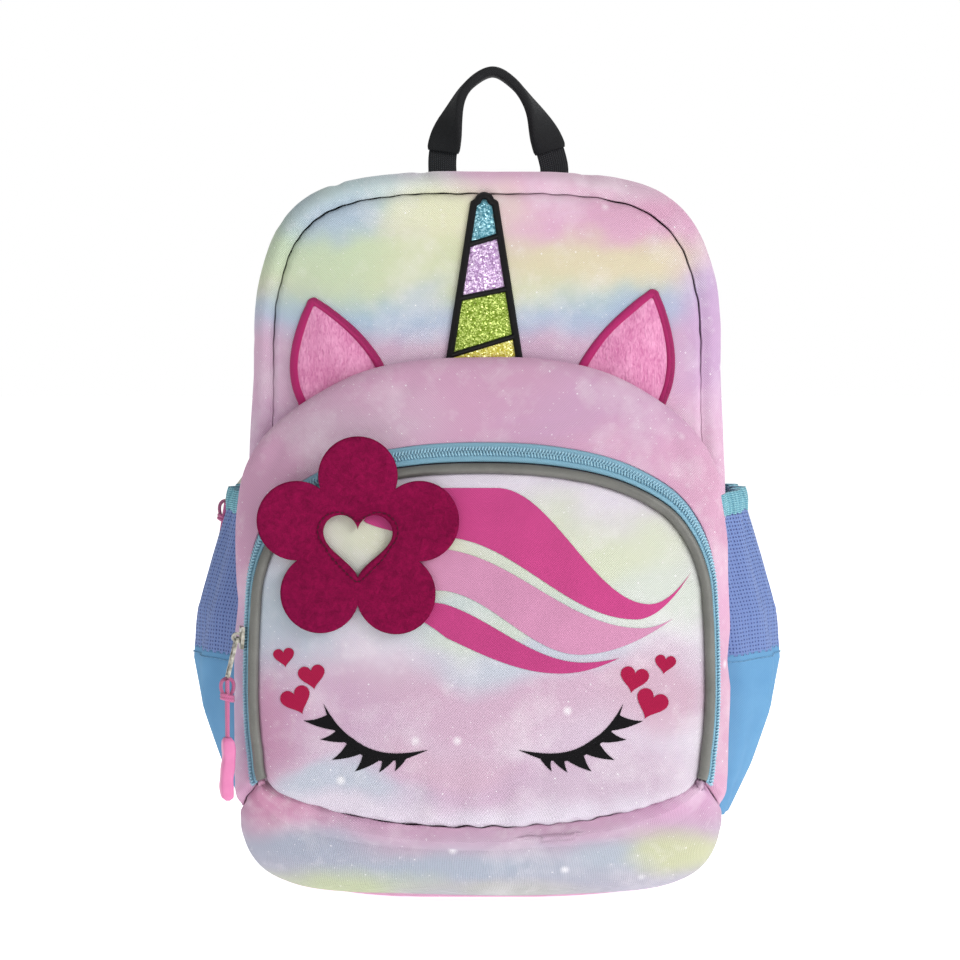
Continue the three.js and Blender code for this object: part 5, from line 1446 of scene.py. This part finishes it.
def strap_curve(side):
    """The strap's middle line from its top seam to the base corner, at even lengths along it."""
    across, behind, up = np.transpose(STRAP_ROUTE)
    x, z = side * BAG_HALF_WIDTH * across, BAG_HEIGHT * up
    thick = np.where(np.arange(len(x)) / len(x) < LOCK_PLACE, STRAP_THICKNESS, WEBBING)
    loft = 0.0045 * (1 - np.minimum(1, np.array(behind) / 0.34))
    y = back_depth(x, z) + thick / 2 + SEATED + STRAP_STANDOFF * behind + loft
    line, = resampled(smooth_path(np.stack([x, y, z], -1), 600), count=600)
    return line


def stationed(line, places, section):
    """A section carried along a line at shares of its length, level across and square to the line."""
    at = np.asarray(places) * (len(line) - 1)
    spot, along = (read_at(np.arange(len(line)), at, part) for part in (line, unit(np.gradient(line, axis=0))))
    across = unit(np.array([1, 0, 0]) - along * along[:, :1])
    out = np.cross(across, along)
    section = np.broadcast_to(section, (len(at), *np.shape(section)[-2:]))
    return spot[:, None] + section[..., :1] * across[:, None] + section[..., 1:] * out[:, None]


def at_lock(line, points, width, thickness):
    """A flat band that follows points given about the lock: p down the strap and q away from the bag."""
    k = int(LOCK_PLACE * (len(line) - 1))
    way = unit(line[k + 1] - line[k - 1])
    across = unit(np.array([1, 0, 0]) - way * way[0])
    out = np.cross(across, way)
    points = smooth_path(points, 60)
    path = line[k] + points[:, :1] * way + points[:, 1:] * out
    return carried(path, padded_ring(width, thickness), side=out)


def blown_up(pad, start):
    """Swells a pad as cloth under pressure: its mesh in even cells, 20 steps without gravity, and no point further
    than PAD_SWELL from where it began, or less near its sewn end at start."""
    scene = bpy.context.scene
    trial = bpy.data.objects.new("trial_pad", pad.data.copy())
    scene.collection.objects.link(trial)
    cells = trial.modifiers.new("cells", "REMESH")
    cells.mode = "VOXEL"
    cells.voxel_size = PAD_CELL
    bpy.context.view_layer.update()
    even = bpy.data.meshes.new_from_object(trial.evaluated_get(bpy.context.evaluated_depsgraph_get()))
    trial.modifiers.clear()
    trial.data = even
    cloth = trial.modifiers.new("cloth", "CLOTH")
    cloth.settings.use_pressure = True
    cloth.settings.uniform_pressure_force = 4
    cloth.settings.effector_weights.gravity = 0
    cloth.point_cache.frame_end = 20
    for step in range(1, 21):
        scene.frame_set(step)
    swollen = bpy.data.meshes.new_from_object(trial.evaluated_get(bpy.context.evaluated_depsgraph_get()))
    before, after = np.zeros(3 * len(even.vertices)), np.zeros(3 * len(even.vertices))
    even.vertices.foreach_get("co", before)
    swollen.vertices.foreach_get("co", after)
    before, moved = before.reshape(-1, 3), (after - before).reshape(-1, 3)
    free = PAD_SWELL * np.clip((np.linalg.norm(before - start, axis=1) - 0.01) / 0.03, 0.1, 1)[:, None]
    moved *= np.minimum(1, free / np.maximum(np.linalg.norm(moved, axis=1, keepdims=True), 1e-9))
    even.vertices.foreach_set("co", (before + moved).ravel())
    even.update()
    scene.frame_set(1)
    bpy.data.objects.remove(trial)
    material = pad.data.materials[0]
    pad.data = even
    even.materials.clear()
    even.materials.append(material)
    even.shade_smooth()
    soft = pad.modifiers.new("soft", "SUBSURF")
    soft.levels = 1
    soft.render_levels = 1


binding_tape = woven_tape("binding_tape", "#3a3b3e", "#1c1d1f", 0.0008)
strap_mesh = air_mesh("strap_padding", "#3e4046", "#15161a", 0.0028)
fold_angle = np.linspace(np.pi / 2, -np.pi / 2, 7)
for side, tag in ((1, "right"), (-1, "left")):
    line = strap_curve(side)
    total = lengths(line, 0)[-1]
    pad_end = LOCK_PLACE - (BAR_PLACE + TONGUE + STRAP_THICKNESS) / total
    places = np.linspace(0.0, pad_end, 120)
    share = places / pad_end
    end = np.minimum(1, np.sqrt(np.clip(1 - ((share - 0.94) / 0.06).clip(0, 1) ** 2, 0.12, 1)))
    width = (1 - 0.2 * share) * end
    thick = 0.55 + 0.45 * np.minimum(1, np.minimum(share, 1 - share) / 0.05)
    section = padded_ring(STRAP_WIDTH - 0.003, STRAP_THICKNESS - 0.002, 40) * np.stack([width, thick], -1)[:, None]
    pad = piece("shoulder_strap_" + tag, capped(stationed(line, places, section)), strap_mesh, "strap_padding",
                nodes=["shoulder_strap_" + tag])
    blown_up(pad, line[0])
    edge_in = 0.0022
    rim = stationed(line, places[2:], np.stack([np.array([[-1.0, 0], [1.0, 0]]) * (STRAP_WIDTH / 2 * w - edge_in)
                                                for w in width[2:]]))
    rim = np.concatenate([rim[:, 0], rim[::-1, 1]])
    rim, = resampled(smooth_path(rim, 900), count=420)
    binding = carried(rim, ring(14) * np.array([0.0026, STRAP_THICKNESS / 2 + 0.0002]), side=(0, 1, 0))
    piece("strap_binding_" + tag, capped(binding), binding_tape, "webbing")
    upper = [(-BAR_PLACE - TONGUE - 0.020, 0.0), (-BAR_PLACE - TONGUE - 0.006, FOLD_RADIUS * 0.4),
             (-BAR_PLACE - TONGUE / 2, FOLD_RADIUS)]
    upper += [(-BAR_PLACE + FOLD_RADIUS * np.cos(a), FOLD_RADIUS * np.sin(a)) for a in fold_angle]
    upper += [(-BAR_PLACE - TONGUE, -FOLD_RADIUS)]
    lower = [(BAR_PLACE + WEBBING_TAIL, FOLD_RADIUS), (BAR_PLACE + WEBBING_TAIL / 2, FOLD_RADIUS)]
    lower += [(BAR_PLACE - FOLD_RADIUS * np.cos(a), FOLD_RADIUS * np.sin(a)) for a in fold_angle]
    lower += [(BAR_PLACE + FOLD_RADIUS * 2, -FOLD_RADIUS)]
    piece("strap_tongue_" + tag, capped(at_lock(line, upper, STRAP_WEBBING_WIDTH, WEBBING)), black_webbing, "webbing")
    run = stationed(line, np.linspace(LOCK_PLACE + LOCK_HEIGHT * 0.55 / total, 1, 80),
                    padded_ring(STRAP_WEBBING_WIDTH, WEBBING))
    piece("strap_webbing_" + tag, [capped(at_lock(line, lower, STRAP_WEBBING_WIDTH, WEBBING)), capped(run)],
          black_webbing, "webbing", nodes=["strap_webbing_" + tag])


# The ladder locks: moulded black nylon, fine grained, one on each strap.
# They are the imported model's own solids with a plastic finish.
def moulded(name, colour, dark, roughness, grain):
    """Moulded plastic: a fine even grain and faint marks of use."""
    material = finish_of(name, colour, roughness)
    where = place_on(material)
    spark = noise(material, where, grain, Detail=2.0)
    wear = noise(material, where, 120.0, Detail=4.0)
    return surfaced(material, spark, 0.00012, weighed(material, spark, 0.3, wear, 0.8), colour, dark)


def refinish(name, material):
    """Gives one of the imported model's own solids its finish."""
    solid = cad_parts[name]
    solid.data.materials.clear()
    solid.data.materials.append(material)


lock_plastic = moulded("lock_plastic", "#303135", "#17181a", 0.45, 1500.0)
for tag in ("right", "left"):
    refinish("ladder_lock_" + tag, lock_plastic)


# The zip pulls: a die cast slider and tab in antique nickel, and a grip moulded in soft pink plastic on the cord.
# The tab swings in the slider's bridge, and the cord is looped through its eye.
GRIP_WIDTH = 0.0095
GRIP_THICKNESS = 0.00725
GRIP_LINES = {
    "front_pull": ((-.13960, -.08803, .09424), (-.13960, -.08803, .06024)),
    "main_pull": ((-.15288, .03768, .18256), (-.15815, .03843, .14897)),
}
GRIP_HINGES = {"front_pull": (-.21795, .97594, .00683), "main_pull": (.13998, .99014, -.00439)}
GRIP_PROFILE = [(.55, 0), (.85, .05), (.98, .16), (.93, .32), (1, .48), (.93, .64), (1, .8), (.85, .95), (.35, 1)]


def antique_nickel():
    """Antique nickel: polished on its faces and dark where polish hasn't reached, with fine tumbling marks."""
    material = finish_of("zip_metal", "#a9a69c", 0.32, Metallic=1.0)
    where = place_on(material)
    cloud = noise(material, where, 420.0, Detail=5.0)
    marks = noise(material, where, 2600.0, Detail=2.0)
    share = spread_out(material, cloud, 0.35, 0.65)
    return surfaced(material, marks, 0.00005, share, "#c9c6bb", "#77746a")


nickel = antique_nickel()
grip_finish = moulded("pull_grip", "#e387b6", "#d46ea2", 0.42, 900.0)
for pull, (top, bottom) in GRIP_LINES.items():
    refinish(pull + "_slider", nickel)
    refinish(pull + "_tab", nickel)
    share = np.linspace(0, 1, 48)
    widths = catmull(np.array(GRIP_PROFILE)[:, :1], np.interp(share, np.array(GRIP_PROFILE)[:, 1], np.arange(9)))
    path = np.outer(1 - share, top) + np.outer(share, bottom)
    path += np.outer(0.0007 * np.sin(2 * np.pi * share), np.cross(unit(np.subtract(bottom, top)), GRIP_HINGES[pull]))
    section = padded_ring(GRIP_WIDTH, GRIP_THICKNESS, 24)[None] * widths[:, None]
    across = np.array(GRIP_HINGES[pull])
    down = unit(np.subtract(bottom, top))
    grip = path[:, None] + section[..., :1] * across + section[..., 1:] * np.cross(down, across)
    grip_piece = piece(pull + "_grip", capped(grip), grip_finish, "pull_grip", body=pull, nodes=[pull + "_grip"])
    (cord_a, line_a), (cord_b, line_b) = pull_cords[pull + "_cord_a"], pull_cords[pull + "_cord_b"]
    beside = np.cross(down, across)
    eye = (line_a[0] + line_b[0]) / 2
    round_loop = np.linspace(0, 2 * np.pi, 40)
    loop = eye + np.outer(0.0045 - 0.0052 * np.cos(round_loop), down) + np.outer(
        0.0034 * np.sin(round_loop) * (1 + 0.25 * np.cos(round_loop)), beside)
    turn = np.linspace(0, 3.6 * np.pi, 60)
    wrap = eye + np.outer(0.0078 + 0.0009 * turn / np.pi + 0.0012 * np.sin(turn), down) + np.outer(
        0.0028 * np.cos(turn), across) + np.outer(0.0031 * np.sin(turn), beside)
    knot = piece(pull + "_knot", [capped(carried(path, ring(10) * CORD_DIAMETER / 2, side=across))
                                  for path in (loop, wrap)], cord_finish, "pull_cord", body=pull)
    for cord, line in ((cord_a, line_a), (cord_b, line_b)):
        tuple(line[0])


# The floor and the light: a plain pale floor, a large soft lamp over the camera's right, a weaker one on its left,
# one behind the bag, and a white surround that lights it less than it shows.
def pale_floor():
    """Pale matt paint with the faintest mottling, lit a little from within as a light table is."""
    material = finish_of("pale_floor", "#f7f7f7", 0.9, Emission_Color=(1, 1, 1, 1), Emission_Strength=0.68)
    cloud = noise(material, place_on(material), 3.0)
    tint(material, cloud, "#fbfbfb", "#f4f4f4")
    return material


floor = bpy.data.objects.new("floor", bpy.data.meshes.new("floor"))
floor.data.from_pydata([(-8, -8, -.0002), (8, -8, -.0002), (8, 8, -.0002), (-8, 8, -.0002)], [], [(0, 1, 2, 3)])
floor.data.materials.append(pale_floor())
bpy.context.collection.objects.link(floor)
for name, place, size, watts in (("lamp_right", (2.0, -1.5, 1.4), 1.2, 44), ("lamp_left", (-1.8, -1.5, 1.2), 1.6, 2),
                                 ("lamp_back", (0.4, 1.6, 1.8), 1.6, 18)):
    lamp = bpy.data.lights.new(name, "AREA")
    lamp.energy = watts
    lamp.size = size
    holder = bpy.data.objects.new(name, lamp)
    holder.location = place
    aim = np.array([0, 0, 0.2]) - place
    holder.rotation_euler = (np.arccos(-aim[2] / np.linalg.norm(aim)), 0, np.arctan2(aim[1], aim[0]) - np.pi / 2)
    bpy.context.collection.objects.link(holder)
world = bpy.data.worlds.new("surround")
bpy.context.scene.world = world
world.use_nodes = True
surround = world.node_tree.nodes["Background"]
surround.inputs["Color"].default_value = (1, 1, 1, 1)
seen = world.node_tree.nodes.new("ShaderNodeMapRange")
seen.inputs["To Min"].default_value = 0.45
seen.inputs["To Max"].default_value = 1.0
world.node_tree.links.new(world.node_tree.nodes.new("ShaderNodeLightPath").outputs["Is Camera Ray"],
                          seen.inputs["Value"])
world.node_tree.links.new(seen.outputs[0], surround.inputs["Strength"])
